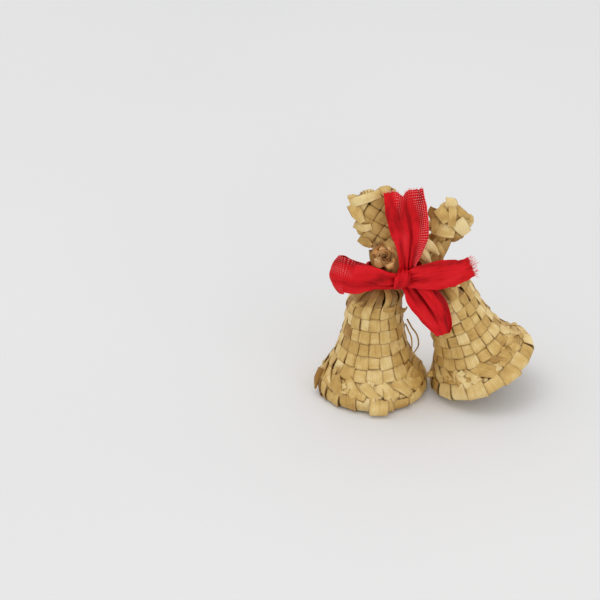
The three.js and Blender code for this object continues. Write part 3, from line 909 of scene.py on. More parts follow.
@dataclass
class PlaitedKnob:
    """A flat tube of diagonal straws, plaited over and under and folded shut above and below."""

    name: str
    node: str
    place: tuple
    straws_across: int
    straws_high: int
    depth: float
    foot: float  # width at the bottom as a share of the full width
    turn: float  # degrees, in the knob's own plane
    straw: float = 4.1
    relief: float = 0.55
    lobe: float = 0.6  # how far each fold stands out at the edges
    folds: tuple = ()
    core: tuple = ()  # the foot and head of the bunch that carries it, unless the neck has its own
    core_radius: float = 2.7
    core_straws: int = 9
    notch_reach: float = 0.8  # how far from a notch a fold has risen
    squareness: float = 2.4  # 2 for a round cushion, more for a boxier one
    skin: float = 0.6  # how far the straws stand in front of the tube's middle
    seed: int = 5

    def __post_init__(self) -> None:
        """Works out the knob's size from its straws."""
        self.half_step = self.straw / math.sqrt(2)
        self.width = self.straws_across * self.half_step
        self.height = self.straws_high * self.half_step
        self.bundle = StripBundle(self.name, TIGHT_STRAW_THICKNESS, self.seed)

    def _lobes(self, along: np.ndarray, edge: np.ndarray) -> np.ndarray:
        """Rises from a notch to 1 on each fold along an edge that lies edge round the tube."""
        place = (along + edge) / (2 * self.half_step)
        from_notch = np.abs(place - np.round(place)) * 2 * self.half_step
        return self.lobe * (1 - np.exp(-((from_notch / self.notch_reach) ** 2)) - 0.6)

    def on_tube(self, around: np.ndarray, up: np.ndarray) -> np.ndarray:
        """Finds places on the flat tube, unturned and about its middle.

        Args:
            around: Distance round the tube, from the left edge along the front.
            up: Distance up from the bottom edge; past an edge it comes down the other side.

        Returns:
            Places as x across, y up and z to the front.
        """
        is_past = (up > self.height) | (up < 0)
        around = np.mod(np.where(is_past, 2 * self.width - around, around), 2 * self.width)
        up = np.where(up > self.height, 2 * self.height - up, np.abs(up))
        is_front = around <= self.width
        x = np.where(is_front, around - self.width / 2, 1.5 * self.width - around)
        y = up - self.height / 2
        across, high = np.abs(2 * x / self.width), np.abs(2 * y / self.height)
        crown = np.clip(1 - across**self.squareness, 0, 1) * np.clip(1 - high**self.squareness, 0, 1)
        z = np.where(is_front, 1, -1) * (self.depth / 2 - self.skin) * np.sqrt(crown)
        edge = np.where(x < 0, 0, self.width)
        out_x = np.sign(x) * self._lobes(up, edge) * smoothstep(across, 0.5, 1)
        out_y = np.sign(y) * self._lobes(x + self.width / 2, self.half_step) * smoothstep(high, 0.6, 1)
        taper = self.foot + (1 - self.foot) * smoothstep(y / self.height, -0.5, -0.15)
        return np.stack([(x + out_x) * taper, y + out_y, z], axis=-1)

    def standing(self, local: np.ndarray) -> np.ndarray:
        """Turns places in the knob's plane, stands them up and moves them to the knob's place."""
        return turned(local, math.pi / 2, 0, math.radians(self.turn)) + np.array(self.place)

    def lay_straws(self) -> None:
        """Lays the diagonal straws of both directions round the tube."""
        rng = self.bundle.rng
        spacing = 2 * self.half_step
        past = 1.3  # how far each straw runs over the folds above and below
        side = np.linspace(-1, 1, 7)
        for lay in Lay:
            for index in range(self.straws_across):
                up = np.linspace(-past, self.height + past, 14 * self.straws_high)
                middle = index * spacing + self.half_step + lay.value * up
                crossing = up / self.half_step
                over = lay.value * plateau(np.cos(math.pi * crossing), 1.7)
                width = self.straw * (0.84 + 0.10 * over + uneven(rng, crossing, 0.06))
                offset = np.outer(width / 2, side) / math.sqrt(2)
                drift = uneven(rng, crossing, 0.16)
                arounds = (middle + drift)[:, None] + offset
                ups = up[:, None] - lay.value * offset
                base = self.on_tube(arounds, ups)
                outward = unit(base * np.array([0.35, 0.35, 1.6]))
                lift = self.relief * over[:, None] - 0.24 * side[None, :] ** 2
                bob = uneven(rng, crossing, 0.08)[:, None]
                twist = side[None, :] * uneven(rng, crossing, 0.14)[:, None]
                lift = lift + (bob + twist)
                tone = rng.uniform(0.28, 0.75) + uneven(rng, crossing, 0.16)
                # painted shade where the crossing straw covers this one
                self.bundle.lay(self.standing(base + outward * lift[..., None]), tone, covered(over))

    def build(self, material: bpy.types.Material) -> bpy.types.Object:
        """Plaits the knob and joins its straws.

        Args:
            material: The straw finish.

        Returns:
            The finished knob.
        """
        self.lay_straws()
        if self.core:
            lay_core(self.bundle, *self.core, self.core_radius, self.core_straws)
        for fold in self.folds:
            fold.lay(self.bundle)
        return belongs(self.bundle.join(material), self.node)


# ---------------------------------------------------------------- straw ends


@dataclass
class RolledCurl:
    """A brown straw end rolled up in front of the left neck, with torn ends round it."""

    name: str = "rolled_straw_curl"
    place: tuple = (-15.0, -5.2, 53.2)
    turns: float = 1.35
    inner_radius: float = 0.5
    outer_radius: float = 3.7
    width: float = 3.0
    lean: float = 68.0  # degrees back from level
    roll: float = 200.0  # degrees round its own middle
    torn_ends: int = 8
    seed: int = 11

    def _placed(self, local: np.ndarray) -> np.ndarray:
        """Turns places in the curl's own plane and moves them to the curl's place."""
        return turned(local, math.radians(self.lean), 0, math.radians(self.roll)) + np.array(self.place)

    def build(self, material: bpy.types.Material) -> bpy.types.Object:
        """Rolls the straws into one another and tucks the torn ends round them.

        Args:
            material: The straw finish.

        Returns:
            The finished curl.
        """
        bundle = StripBundle(self.name, TIGHT_STRAW_THICKNESS, self.seed)
        rng = bundle.rng
        side = np.linspace(-1, 1, 5)
        for start in (0.3, 1.9, 3.4, 4.9):
            share = np.linspace(0, 1, 60)
            angle = start + 2 * math.pi * self.turns * share * rng.uniform(0.75, 1.1)
            radius = self.inner_radius + (self.outer_radius - self.inner_radius) * share**0.85
            radius = radius + uneven(rng, share * 8, 0.5) * share
            height = uneven(rng, share * 4, 0.45) + rng.uniform(-0.5, 0.5)
            middle = np.stack([radius * np.cos(angle), radius * np.sin(angle), height], axis=1)
            widths = self.width * (1 - 0.45 * share) * (1 + uneven(rng, share * 6, 0.15))
            points = np.repeat(middle[:, None, :], len(side), axis=1)
            points[..., 2] += np.outer(widths / 2, side)
            flare = 1 + side[None, :] * uneven(rng, share * 5, 0.16)[:, None] + 0.1 * side[None, :]
            points[..., :2] *= flare[..., None]
            tone = rng.uniform(0.35, 0.7) + uneven(rng, share * 8, 0.15)
            # painted shade, deeper towards the middle of the roll
            bundle.lay(self._placed(points), tone, 0.3 * (1 - share))
        for index in range(self.torn_ends):
            angle = math.radians(index * 360 / self.torn_ends + rng.uniform(-22, 22))
            inner, outer = rng.uniform(1.4, 2.6), rng.uniform(3.2, 4.5)
            spread = rng.uniform(-0.5, 0.9)
            path = []
            for part, low, high in ((0.0, 0.2, 1.1), (0.5, 0.6, 1.5), (1.0, -1.2, 0.4)):
                radius = inner + (outer - inner) * part
                bearing = angle + spread * part
                path.append((radius * math.cos(bearing), radius * math.sin(bearing), rng.uniform(low, high)))
            placed = tuple(map(tuple, self._placed(np.array(path))))
            # a little painted shade on each torn end
            torn = LooseStraw(placed, width=rng.uniform(1.2, 3.0), facing=(0.1, -0.9, 0.4), fold=0.35, tip=0.6,
                              tone=rng.uniform(0.3, 0.8), shade=0.05)
            torn.lay(bundle)
        return belongs(bundle.join(material), "left_curl")


@dataclass
class FoldedTuft:
    """Folded straw ends that stand out between the right neck and its knob."""

    name: str = "folded_straw_tuft"
    foot: tuple = (0.2, -1.0, 47.4)
    head: tuple = (4.6, 1.0, 56.8)
    core_radius: float = 2.5
    core_straws: int = 9
    seed: int = 17

    def build(self, material: bpy.types.Material) -> bpy.types.Object:
        """Lays the twisted core that carries the knob and the folded leaves round it.

        Args:
            material: The straw finish.

        Returns:
            The finished tuft.
        """
        bundle = StripBundle(self.name, STRAW_THICKNESS, self.seed)
        lay_core(bundle, self.foot, self.head, self.core_radius, self.core_straws)
        for straw in self.leaves():
            straw.lay(bundle)
        return belongs(bundle.join(material), "right_tuft")

    def leaves(self) -> list:
        """Lists the folded leaves, from the front round to the back."""
        s = LooseStraw
        return [
            s(((-3.2, -2.8, 58.2), (-1.6, -4.4, 57.6), (0.6, -4.6, 55.6), (2.2, -3.8, 53.0)), 3.2,
              tone=0.85, fold=0.45),
            s(((-4.4, -3.2, 56.4), (-3.0, -5.0, 55.0), (-1.4, -5.6, 52.6), (-0.2, -5.0, 50.4)), 3.0,
              tone=0.75, fold=0.6),
            # more painted shade on this leaf than on the others
            s(((-3.6, -2.6, 54.4), (-3.2, -4.4, 53.0), (-2.6, -5.0, 51.2), (-2.4, -4.6, 49.6)), 2.4,
              tone=0.3, fold=0.4, shade=0.4),
            s(((1.6, -2.4, 56.6), (2.8, -3.2, 54.8), (3.6, -3.0, 52.6), (3.4, -2.2, 50.2)), 2.4,
              tone=0.45, fold=0.4),
            s(((2.6, 0.4, 55.8), (4.4, 0.2, 54.0), (4.6, 0.4, 51.6)), 2.6,
              facing=(1, -0.3, 0.3), tone=0.5),
            s(((-2.2, 1.6, 56.0), (-3.6, 2.0, 54.0), (-3.2, 2.2, 51.4)), 2.8,
              facing=(-1, 0.3, 0.3), tone=0.6),
            s(((0.4, 2.6, 57.0), (0.6, 4.2, 55.0), (0.2, 4.0, 51.6)), 3.0,
              facing=(0, 1, 0.3), tone=0.65, fold=0.5),
            s(((3.0, 2.4, 56.4), (3.8, 3.2, 54.0), (3.0, 3.4, 51.0)), 2.6,
              facing=(0.6, 1, 0.3), tone=0.4, fold=0.5),
        ]


# ---------------------------------------------------------------- ribbon bow


class Facing(Enum):
    """Which side of a stretch of ribbon its folds stand out on."""

    FRONT = "towards the front"
    OUTSIDE = "away from the middle of its own loop"


@dataclass(frozen=True)
class RibbonStation:
    """One place along a ribbon: where it is, which way its width runs and how it lies there."""

    at: tuple
    across: tuple
    width: float  # share of the ribbon's full width that shows
    bow: float = 0.0  # how far its middle stands out
    pleat: float = 0.0  # depth of the gathers
    fold: float = 0.0  # 1 where the upper part laps over the lower one
    crease: float = 0.0  # depth of a crease along the middle

    def row(self) -> list:
        """Lists the station's numbers in one row."""
        return [*self.at, *self.across, self.width, self.bow, self.pleat, self.fold, self.crease]


@dataclass
class RibbonBow:
    """A thin ribbon, gathered round both necks and tied in front with two loops and two tails."""

    name: str = "red_ribbon"
    full_width: float = 13.5
    thickness: float = 0.2
    length: float = 241.0  # down its middle, through loops, tails, knot and neck band
    lanes: int = 36  # faces across the ribbon
    band_height: float = 44.9  # where the band goes round the necks
    band_reach: float = 4.95  # from a neck's middle to the band
    band_stations: int = 16
    knot_x: float = -9.8
    seed: int = 23

    def _out_of_plane(self, lane: np.ndarray, shape: dict, wobble: np.ndarray, gathers: float,
                      fold_at: float) -> tuple:
        """Shapes the ribbon's cross section.

        Args:
            lane: Place across the ribbon, from -1 to 1.
            shape: Bow, pleat, fold and crease at each step.
            wobble: A slow shift of the gathers along the ribbon.
            gathers: Number of gathers across it.
            fold_at: Where the upper part laps over the lower one.

        Returns:
            The place across as it lies, the height out of the plane, and how much painted shade it gets in its
            folds.
        """
        fold = np.clip(shape["fold"], 0, 1)
        below = smoothstep(fold_at - lane, -0.07, 0.09)
        lateral = lane + fold * (0.30 * below - 0.15)
        phase = math.pi * gathers * lane
        waves = np.cos(phase + 0.6 + wobble) + 0.18 * np.cos(2.3 * phase - wobble)
        from_crease = lane - 0.02 + 0.04 * wobble
        lap = np.exp(-(((lane - fold_at - 0.12) / 0.22) ** 2))
        out = shape["bow"] * (1 - lateral**2) + shape["pleat"] * waves
        out = out + fold * (0.45 * lap - 1.5 * below * (1 - 0.45 * smoothstep(fold_at - lane, 0.1, 0.6)))
        out = out - shape["crease"] * np.exp(-((from_crease / 0.10) ** 2))
        # hollow is painted shade: in the troughs of the gathers, along the middle crease and under the lap of
        # a fold
        hollow = 0.75 * smoothstep(-waves * shape["pleat"], 0.02, 0.5)
        hollow = hollow + 0.9 * np.exp(-((from_crease / 0.13) ** 2)) * smoothstep(shape["crease"], 0, 0.8)
        hollow = hollow + 0.8 * fold * below * (1 - smoothstep(fold_at - lane, 0.1, 0.5))
        return lateral, out, np.clip(hollow, 0, 1)

    def stretch(self, bundle: StripBundle, stations: list, steps: int, facing: Facing = Facing.OUTSIDE,
                fold_at: float = -0.35, gathers: float = 2.5, notch: float = 0.0, fray: float = 0.0,
                openness: float = 0.3) -> np.ndarray:
        """Lays one stretch of ribbon through its stations.

        Args:
            bundle: The ribbon's strips.
            stations: The stations, from the knot outwards.
            steps: Faces along the stretch.
            facing: The side that its folds stand out on.
            fold_at: Where the lap lies across the ribbon, from -1 to 1.
            gathers: Number of gathers across it.
            notch: Depth of the V cut into its end.
            fray: How uneven its cut end is.
            openness: How open its weave is near the end.

        Returns:
            The places that were laid.
        """
        rng = bundle.rng
        rows = smooth_path([s.row() for s in stations], steps + 1)
        path, across = rows[:, 0:3], rows[:, 3:6]
        heading = unit(np.gradient(path, axis=0))
        across = unit(across - (across * heading).sum(axis=1, keepdims=True) * heading)
        normal = np.cross(heading, across)
        if facing is Facing.FRONT:
            is_inward = normal[steps // 2] @ np.array([0, -1, 0.2]) < 0
        else:
            is_inward = ((path - path.mean(axis=0)) * normal).sum() < 0
        normal = -normal if is_inward else normal
        labels = ("width", "bow", "pleat", "fold", "crease")
        shape = {label: rows[:, column][:, None] for column, label in enumerate(labels, 6)}
        side = np.linspace(-1, 1, self.lanes + 1)
        lane = np.broadcast_to(side[None, :], (steps + 1, self.lanes + 1))
        share = np.linspace(0, 1, steps + 1)[:, None]
        wobble = uneven(rng, share[:, 0] * 5, 0.9)[:, None]
        lateral, out, hollow = self._out_of_plane(lane, shape, wobble, gathers, fold_at)
        selvedge = np.stack([uneven(rng, share[:, 0] * 14, 0.09) for _ in range(2)], axis=1)
        spread = lateral * shape["width"] * self.full_width / 2
        spread = spread + np.where(lane > 0, selvedge[:, 1:2], selvedge[:, 0:1]) * lane**4
        crumple = uneven(rng, share[:, 0] * 11, 0.16)[:, None] * lane
        crumple = crumple + uneven(rng, share[:, 0] * 8, 0.13)[:, None]
        points = path[:, None, :] + across[:, None, :] * spread[..., None]
        points = points + normal[:, None, :] * (out + crumple)[..., None]
        cut = notch * np.clip(1 - np.abs(lane + 0.08) * 3.4, 0, 1)
        cut = cut + fray * np.abs(rng.normal(0, 1, self.lanes + 1))[None, :]
        points = points - heading[:, None, :] * (cut * smoothstep(share, 0.8, 1))[..., None]
        # where painted light shows through the pinholes: more towards the end and one edge, in random patches
        patches = uneven(rng, share[:, 0] * 6, 0.5)[:, None] + uneven(rng, (side + 1) * 3, 0.5)[None, :]
        open_weave = np.clip(openness * (0.35 + 0.4 * share**2 + 0.35 * side[None, :]) + 0.3 * patches, 0, 1)
        bundle.lay(points, 0.5, hollow, self.full_width, open_weave)
        return points

    def fray_end(self, bundle: StripBundle, points: np.ndarray, count: int, reach: float) -> None:
        """Pulls loose threads out of the cut end of a stretch.

        Args:
            bundle: The ribbon's strips.
            points: The stretch's places.
            count: Number of threads.
            reach: The longest thread.
        """
        rng = bundle.rng
        heading = unit(points[-1] - points[-3])
        for lane in np.linspace(0, self.lanes, count):
            low = int(lane)
            high = min(low + 1, self.lanes)
            start = points[-1, low] * (1 - lane + low) + points[-1, high] * (lane - low)
            length = reach * rng.uniform(0.25, 1)
            ahead = unit(heading[low] + rng.normal(0, 0.35, 3))
            share = np.linspace(-0.25, 1, 7)[:, None]
            bend = rng.normal(0, 0.25, 3) * length
            line = start + ahead * length * share + bend * share**2
            across = unit(np.cross(ahead, [0.2, -1, 0.3])) * 0.05
            strand = line[:, None, :] + across[None, None, :] * np.array([-1, 1])[None, :, None]
            # openness rising past 1 along each thread paints it the pale pinhole colour
            bundle.lay(strand, 0.5, 0.0, self.full_width, np.linspace(0.9, 1.9, len(strand)))

    def left_loop(self) -> list:
        """Lists the stations of the loop on the left, out along the front and back behind."""
        s = RibbonStation
        lean = (0, 0.17, 1)
        return [
            s((-10.4, -10.2, 46.6), lean, 0.30, 0.2, 0.35),
            s((-12.2, -10.6, 46.9), lean, 0.38, 0.5, 0.40, 0.3, 0.4),
            s((-14.8, -11.2, 47.3), lean, 0.54, 0.9, 0.24, 0.9, 0.3),
            s((-18.4, -11.6, 48.2), lean, 0.70, 1.1, 0.14, 1.2),
            s((-22.0, -11.7, 48.4), lean, 0.80, 1.0, 0.10, 1.3),
            s((-25.4, -11.2, 48.0), lean, 0.92, 0.8, 0.08, 1.0),
            s((-28.0, -10.0, 48.6), lean, 1.0, 1.0, 0.06, 0.5),
            s((-29.6, -8.4, 48.2), lean, 0.96, 2.0, 0.10, 0.1),
            s((-30.0, -6.6, 47.6), (0, 0.1, 1), 0.86, 2.8, 0.10),
            s((-29.2, -4.9, 47.0), (0, 0.05, 1), 0.86, 1.8, 0.2),
            s((-26.4, -4.6, 46.4), (0, 0, 1), 0.78, 0.5, 0.3),
            s((-21.0, -5.2, 45.8), (0, 0, 1), 0.60, 0.2, 0.4),
            s((-15.0, -5.9, 45.4), (0, 0, 1), 0.44, 0.2, 0.4),
            s((-11.2, -6.8, 45.6), (0, 0, 1), 0.32, 0.2, 0.4),
        ]

    def lower_loop(self) -> list:
        """Lists the stations of the loop that hangs to the lower right."""
        s = RibbonStation
        level = (1, -0.04, 0.12)
        return [
            s((-7.8, -9.4, 45.6), (0.9, 0, 0.3), 0.32, 0.2, 0.4),
            s((-6.2, -10.8, 44.2), (0.95, 0, 0.28), 0.50, 0.5, 0.5, 0.4, 0.6),
            s((-4.6, -12.2, 42.6), (0.97, 0, 0.25), 0.70, 0.7, 0.45, 0.8, 0.7),
            s((-2.8, -13.4, 40.6), level, 0.78, 0.8, 0.26, 0.8, 0.8),
            s((-0.5, -14.4, 37.6), level, 0.71, 0.9, 0.16, 0.5, 0.6),
            s((1.5, -15.1, 34.4), level, 0.56, 0.8, 0.10, 0.2, 0.4),
            s((2.9, -15.4, 31.6), (0.97, -0.05, 0.24), 0.43, 0.4, 0.10),
            s((3.7, -15.0, 29.6), (0.9, -0.08, 0.44), 0.33, 0.4, 0.06),
            s((4.1, -14.0, 29.6), (0.9, -0.08, 0.44), 0.34, 0.4, 0.06),
            s((4.2, -13.0, 32.0), (0.97, -0.05, 0.24), 0.44, 0.2, 0.1),
            s((3.0, -12.4, 35.0), level, 0.54, 0.1, 0.2),
            s((0.8, -11.8, 38.6), level, 0.66, 0.1, 0.3),
            s((-2.6, -10.4, 42.2), level, 0.60, 0.1, 0.4),
            s((-6.8, -8.0, 45.0), level, 0.32, 0.1, 0.4),
        ]

    def top_tail(self) -> list:
        """Lists the stations of the tail that stands up between the knobs."""
        s = RibbonStation
        return [
            s((-8.2, -7.4, 46.6), (1, 0, 0), 0.34, 0.2, 0.45, 0, 0.4),
            s((-7.8, -8.2, 49.6), (1, 0, 0), 0.38, 0.4, 0.50, 0, 0.8),
            s((-7.8, -8.9, 53.4), (1, 0, -0.08), 0.45, 0.6, 0.50, 0, 1.0),
            s((-7.4, -8.7, 57.6), (1, 0, -0.16), 0.65, 0.5, 0.45, 0, 1.1),
            s((-7.2, -8.0, 61.6), (1, 0, -0.16), 0.85, 0.4, 0.24, 0, 1.0),
            s((-7.9, -7.0, 65.6), (1, 0, -0.14), 0.96, 0.3, 0.16, 0, 0.8),
            s((-8.7, -6.0, 69.6), (1, 0, -0.14), 1.0, 0.2, 0.12, 0, 0.6),
            s((-9.3, -5.0, 73.2), (1, 0, -0.05), 0.98, 0.2, 0.1, 0, 0.5),
            s((-9.7, -3.8, 76.4), (1, 0, 0.09), 0.95, 0.1, 0.12, 0, 0.4),
        ]

    def right_tail(self) -> list:
        """Lists the stations of the tail that lies over the right bell's shoulder."""
        s = RibbonStation
        return [
            s((-9.2, -9.8, 46.8), (0.2, 0.3, 0.9), 0.34, 0.3, 0.25),
            s((-6.8, -10.5, 47.6), (0.35, 0.35, 0.86), 0.46, 0.6, 0.32, 0.3, 0.5),
            s((-2.3, -11.2, 48.8), (0.34, 0.35, 0.86), 0.64, 0.9, 0.20, 0.3, 0.4),
            s((3.2, -11.2, 49.7), (0.30, 0.34, 0.9), 0.71, 0.8, 0.12, 0.15, 0.2),
            s((7.2, -10.2, 49.9), (0.24, 0.41, 0.88), 0.62, 0.6, 0.09),
            s((10.2, -9.1, 50.1), (0.1, 0.48, 0.84), 0.52, 0.3, 0.09),
            s((13.2, -8.0, 51.0), (-0.05, 0.52, 0.85), 0.48, 0.1, 0.1),
        ]

    def knot(self) -> list:
        """Lists the stations of the short band that wraps the crossing."""
        s = RibbonStation
        return [
            s((-9.0, -5.6, 49.6), (1, 0, 0), 0.26, 0.2, 0.34),
            s((-9.1, -9.6, 50.0), (1, 0, 0.05), 0.32, 0.3, 0.3),
            s((-9.4, -11.8, 48.8), (1, 0, 0.25), 0.36, 0.3, 0.2, 0, 0.3),
            s((-9.9, -12.4, 47.1), (1, 0, 0.35), 0.36, 0.3, 0.2, 0, 0.4),
            s((-10.5, -11.9, 45.4), (1, 0, 0.25), 0.30, 0.3, 0.2, 0, 0.3),
            s((-10.7, -10.2, 44.4), (1, 0, 0.05), 0.25, 0.3, 0.34),
            s((-10.2, -6.0, 44.2), (1, 0, 0), 0.24, 0.2, 0.4),
        ]

    def neck_band(self, left: WovenBell, right: WovenBell) -> list:
        """Lists the stations of the band round both necks, which meets itself inside the knot.

        Args:
            left: The upright bell.
            right: The leaning bell.

        Returns:
            The band's stations.
        """
        height, reach, count = self.band_height, self.band_reach, self.band_stations
        stations = []
        for index in range(count + 1):
            angle = -math.pi / 2 + 2 * math.pi * index / count
            bell = right if math.cos(angle) > 1e-6 else left
            tilt = math.radians(bell.tilt)
            up = (height - bell.place[2]) / math.cos(tilt)
            neck = turned(np.array([bell.neck_shift, 0, up]), math.radians(bell.lean), -tilt)
            neck = neck + np.array(bell.place)
            is_end = index in (0, count)
            x = self.knot_x if is_end else neck[0] + 1.06 * reach * math.cos(angle) / math.cos(tilt)
            across = (0, 0, 1) if is_end else (-math.sin(tilt), 0, math.cos(tilt))
            sag = 0 if is_end else 0.5 * math.sin(2 * angle + 1)
            width = 0.32 + 0.04 * math.sin(3 * angle)
            pleat = 0.5 + 0.16 * math.cos(5 * angle)
            place = (x, neck[1] + reach * math.sin(angle), height + sag)
            stations.append(RibbonStation(place, across, width, 0.15, pleat))
        return stations

    def build(self, material: bpy.types.Material, bells: list) -> bpy.types.Object:
        """Args:
            material: The ribbon finish.
            bells: The left and the right bell, which carry it.

        Returns:
            The finished ribbon.
        """
        bundle = StripBundle(self.name, self.thickness, self.seed)
        self.stretch(bundle, self.left_loop(), 120, openness=0.45, fold_at=-0.22)
        self.stretch(bundle, self.lower_loop(), 120, openness=0.3, fold_at=0.25)
        top = self.stretch(bundle, self.top_tail(), 80, Facing.FRONT, gathers=2, notch=1.7, fray=0.25,
                           openness=0.9)
        right = self.stretch(bundle, self.right_tail(), 70, Facing.FRONT, fold_at=-0.1, fray=0.35,
                             openness=0.35)
        self.stretch(bundle, self.knot(), 40, gathers=3.5, openness=0.0)
        self.stretch(bundle, self.neck_band(*bells), 96, gathers=4.5, openness=0.0)
        self.fray_end(bundle, top, 46, 0.8)
        self.fray_end(bundle, right, 52, 2.2)
        piece = belongs(bundle.join(material, sharp=70), "ribbon_bow")
        return piece


# ---------------------------------------------------------------- studio


@dataclass
class Studio:
    """Pale table, a soft light from above, a fill light from the front right, and the camera."""

    eye: tuple = (-42.38, -520.02, 333.9)
    target: tuple = (-42.38, -0.4, 33.9)
    lens: float = 108.0
    sensor_width: float = 36.0
    near_clip: float = 0.01  # metres
    table_size: float = 8.0  # metres
    table_drop: float = 0.4  # how far the table top lies under the rims
    light_target: tuple = (0, 0, 0.03)  # metres
    room_strength: float = 0.84

    def build(self, material: bpy.types.Material) -> None:
        """Adds the table, the lights and the camera.

        Args:
            material: The table's finish.
        """
        deselect_all()
        bpy.ops.mesh.primitive_plane_add(size=self.table_size, location=(0, 0, -self.table_drop * MM))
        table = bpy.context.object
        table.name = "table_top"
        table.data.materials.append(material)
        self._light("key_light", (-0.28, -0.05, 1.1), 0.7, 2.0)
        self._light("fill_light", (0.60, -0.80, 0.60), 0.9, 1.3)
        world = bpy.data.worlds.new("soft_room")
        bpy.context.scene.world = world
        world.use_nodes = True
        background = world.node_tree.nodes["Background"]
        background.inputs["Color"].default_value = (1, 1, 1, 1)
        background.inputs["Strength"].default_value = self.room_strength
        bpy.ops.object.camera_add(location=Vector(self.eye) * MM)
        camera = bpy.context.object
        camera.data.lens = self.lens
        camera.data.sensor_width = self.sensor_width
        camera.data.clip_start = self.near_clip
        aim = (Vector(self.target) - Vector(self.eye)).normalized()
        camera.rotation_euler = aim.to_track_quat("-Z", "Y").to_euler()
        bpy.context.scene.camera = camera
        bpy.context.scene.view_settings.view_transform = "Standard"

    def _light(self, name: str, place: tuple, size: float, power: float) -> None:
        """Adds one square soft light that faces the ornament.

        Args:
            name: The light's name.
            place: Its place in metres.
            size: The side of the square in metres.
            power: Its power in watts.
        """
        bpy.ops.object.light_add(type="AREA", location=place)
        light = bpy.context.object
        light.name = name
        light.data.size = size
        light.data.energy = power
        aim = Vector(self.light_target) - Vector(place)
        light.rotation_euler = aim.to_track_quat("-Z", "Y").to_euler()


# ---------------------------------------------------------------- the ornament

WARM_STRAW = StrawFinish(
    "warm_straw", shadowed=(0.28, 0.10, 0.02), golden=(0.54, 0.25, 0.07),
    plain=(0.70, 0.37, 0.12), cream=(0.86, 0.58, 0.25),
)
LEFT_STRAY_ENDS = (
    StrayEnd(188, 6.4, 150, 7.5, 1.9, 1.6, tone=-0.3),
    StrayEnd(205, 9.0, 40, 4.0, 2.2, 1.6),
    StrayEnd(222, 6.0, 60, 4.5, 2.4, 1.2, tone=0.8),
    StrayEnd(262, 7.4, 20, 3.6, 3.0, 0.7, tone=0.9),
    StrayEnd(318, 8.2, 40, 5.0, 2.6, 1.4, tone=0.4),
    StrayEnd(336, 9.6, 30, 5.0, 1.4, 1.6, tone=0.3),
    StrayEnd(350, 7.0, 70, 4.0, 2.2, 1.4, tone=0.4),
    StrayEnd(284, 34.2, 85, 3.4, 2.2, 0.9, tone=0.3),
    StrayEnd(226, 36.2, 150, 3.6, 2.4, 1.4, 0.5, tone=0.3),
    StrayEnd(330, 33.0, 160, 4.6, 2.6, 1.2, 0.6, tone=0.6),
    StrayEnd(110, 8.0, 50, 5.0, 2.6, 1.5),
    StrayEnd(40, 7.0, 30, 4.0, 2.2, 1.2),
)
RIGHT_STRAY_ENDS = (
    StrayEnd(196, 5.6, 40, 4.6, 2.4, 1.2, 0.6, tone=0.45),
    StrayEnd(214, 8.6, 130, 4.0, 2.6, 0.8, tone=0.5),
    StrayEnd(236, 6.6, 60, 5.2, 2.6, 1.0, tone=0.9),
    StrayEnd(300, 6.0, 60, 4.4, 2.6, 1.6, 0.6, tone=0.5),
    StrayEnd(325, 7.6, 20, 5.4, 2.4, 1.6, 0.7, tone=0.4),
    StrayEnd(348, 6.4, 50, 5.4, 2.6, 1.9, 0.8, tone=0.5),
    StrayEnd(5, 8.2, 20, 4.6, 2.2, 1.2, 0.6, tone=0.6),
    StrayEnd(318, 35.6, 20, 3.8, 2.6, 1.1, tone=0.95),
    StrayEnd(292, 33.6, 30, 3.4, 2.6, 0.9, tone=0.6),
    StrayEnd(240, 34.6, 80, 3.6, 2.2, 1.2, tone=0.2),
    StrayEnd(70, 8.0, 40, 5.0, 2.4, 1.5, 0.6),
    StrayEnd(130, 7.0, 60, 4.6, 2.6, 1.2),
)
LEFT_KNOB_FOLDS = (
    LooseStraw(((-26.6, -0.6, 70.2), (-22.5, -1.8, 72.2), (-17.0, -0.8, 73.8)), 3.2, tip=0.9, tone=0.75),
    LooseStraw(((-25.9, -0.8, 70.0), (-24.4, -2.2, 67.4), (-22.6, -2.8, 64.4)), 4.0, tip=0.5, tone=0.5),
    LooseStraw(((-25.0, -0.6, 62.8), (-22.4, -2.6, 62.2), (-19.6, -3.0, 63.0)), 2.6, tip=0.8, tone=0.6),
    LooseStraw(((-23.2, -0.8, 57.8), (-21.4, -2.6, 57.0), (-19.6, -3.4, 56.0)), 3.0, tip=0.6, tone=0.3),
    LooseStraw(((-12.4, -4.9, 55.0), (-11.3, -6.0, 52.0), (-11.0, -6.6, 47.4)), 3.6, tip=1.0, tone=0.1),
    LooseStraw(((-18.9, -2.8, 54.4), (-18.6, -3.8, 51.6), (-17.8, -4.6, 48.8)), 2.8, tip=0.8, tone=0.2),
    LooseStraw(((-14.8, -3.6, 57.8), (-12.8, -5.0, 56.4), (-11.4, -5.4, 54.2)), 3.2, tip=0.6, tone=0.35),
)
LEFT_LOOSE_STRAWS = (
    LooseStraw(((-7.0, -2, 27.6), (-5.4, -2, 24.4), (-3.5, -2, 21.3), (-2.9, -2.4, 17.6), (-4.4, -4, 15.6)),
               0.3, tone=0.2),
    LooseStraw(((-7.6, -3, 26.4), (-6.4, -3, 23.4), (-5.4, -3, 20.8), (-5.2, -3.6, 17.2), (-5.6, -4, 14.4)),
               0.25, tone=0.5),
    LooseStraw(((-16.4, -17.6, 5.2), (-16.6, -19.8, 3.4), (-16.7, -20.1, 1.4), (-16.7, -19.2, 0.4)), 6.4,
               fold=0.1, tip=0.9, tone=0.6),
    LooseStraw(((-35.6, -2.2, 8.4), (-37.0, -3.6, 5.4), (-37.6, -5.2, 2.0)), 1.9, tip=0.3, tone=-0.7),
)
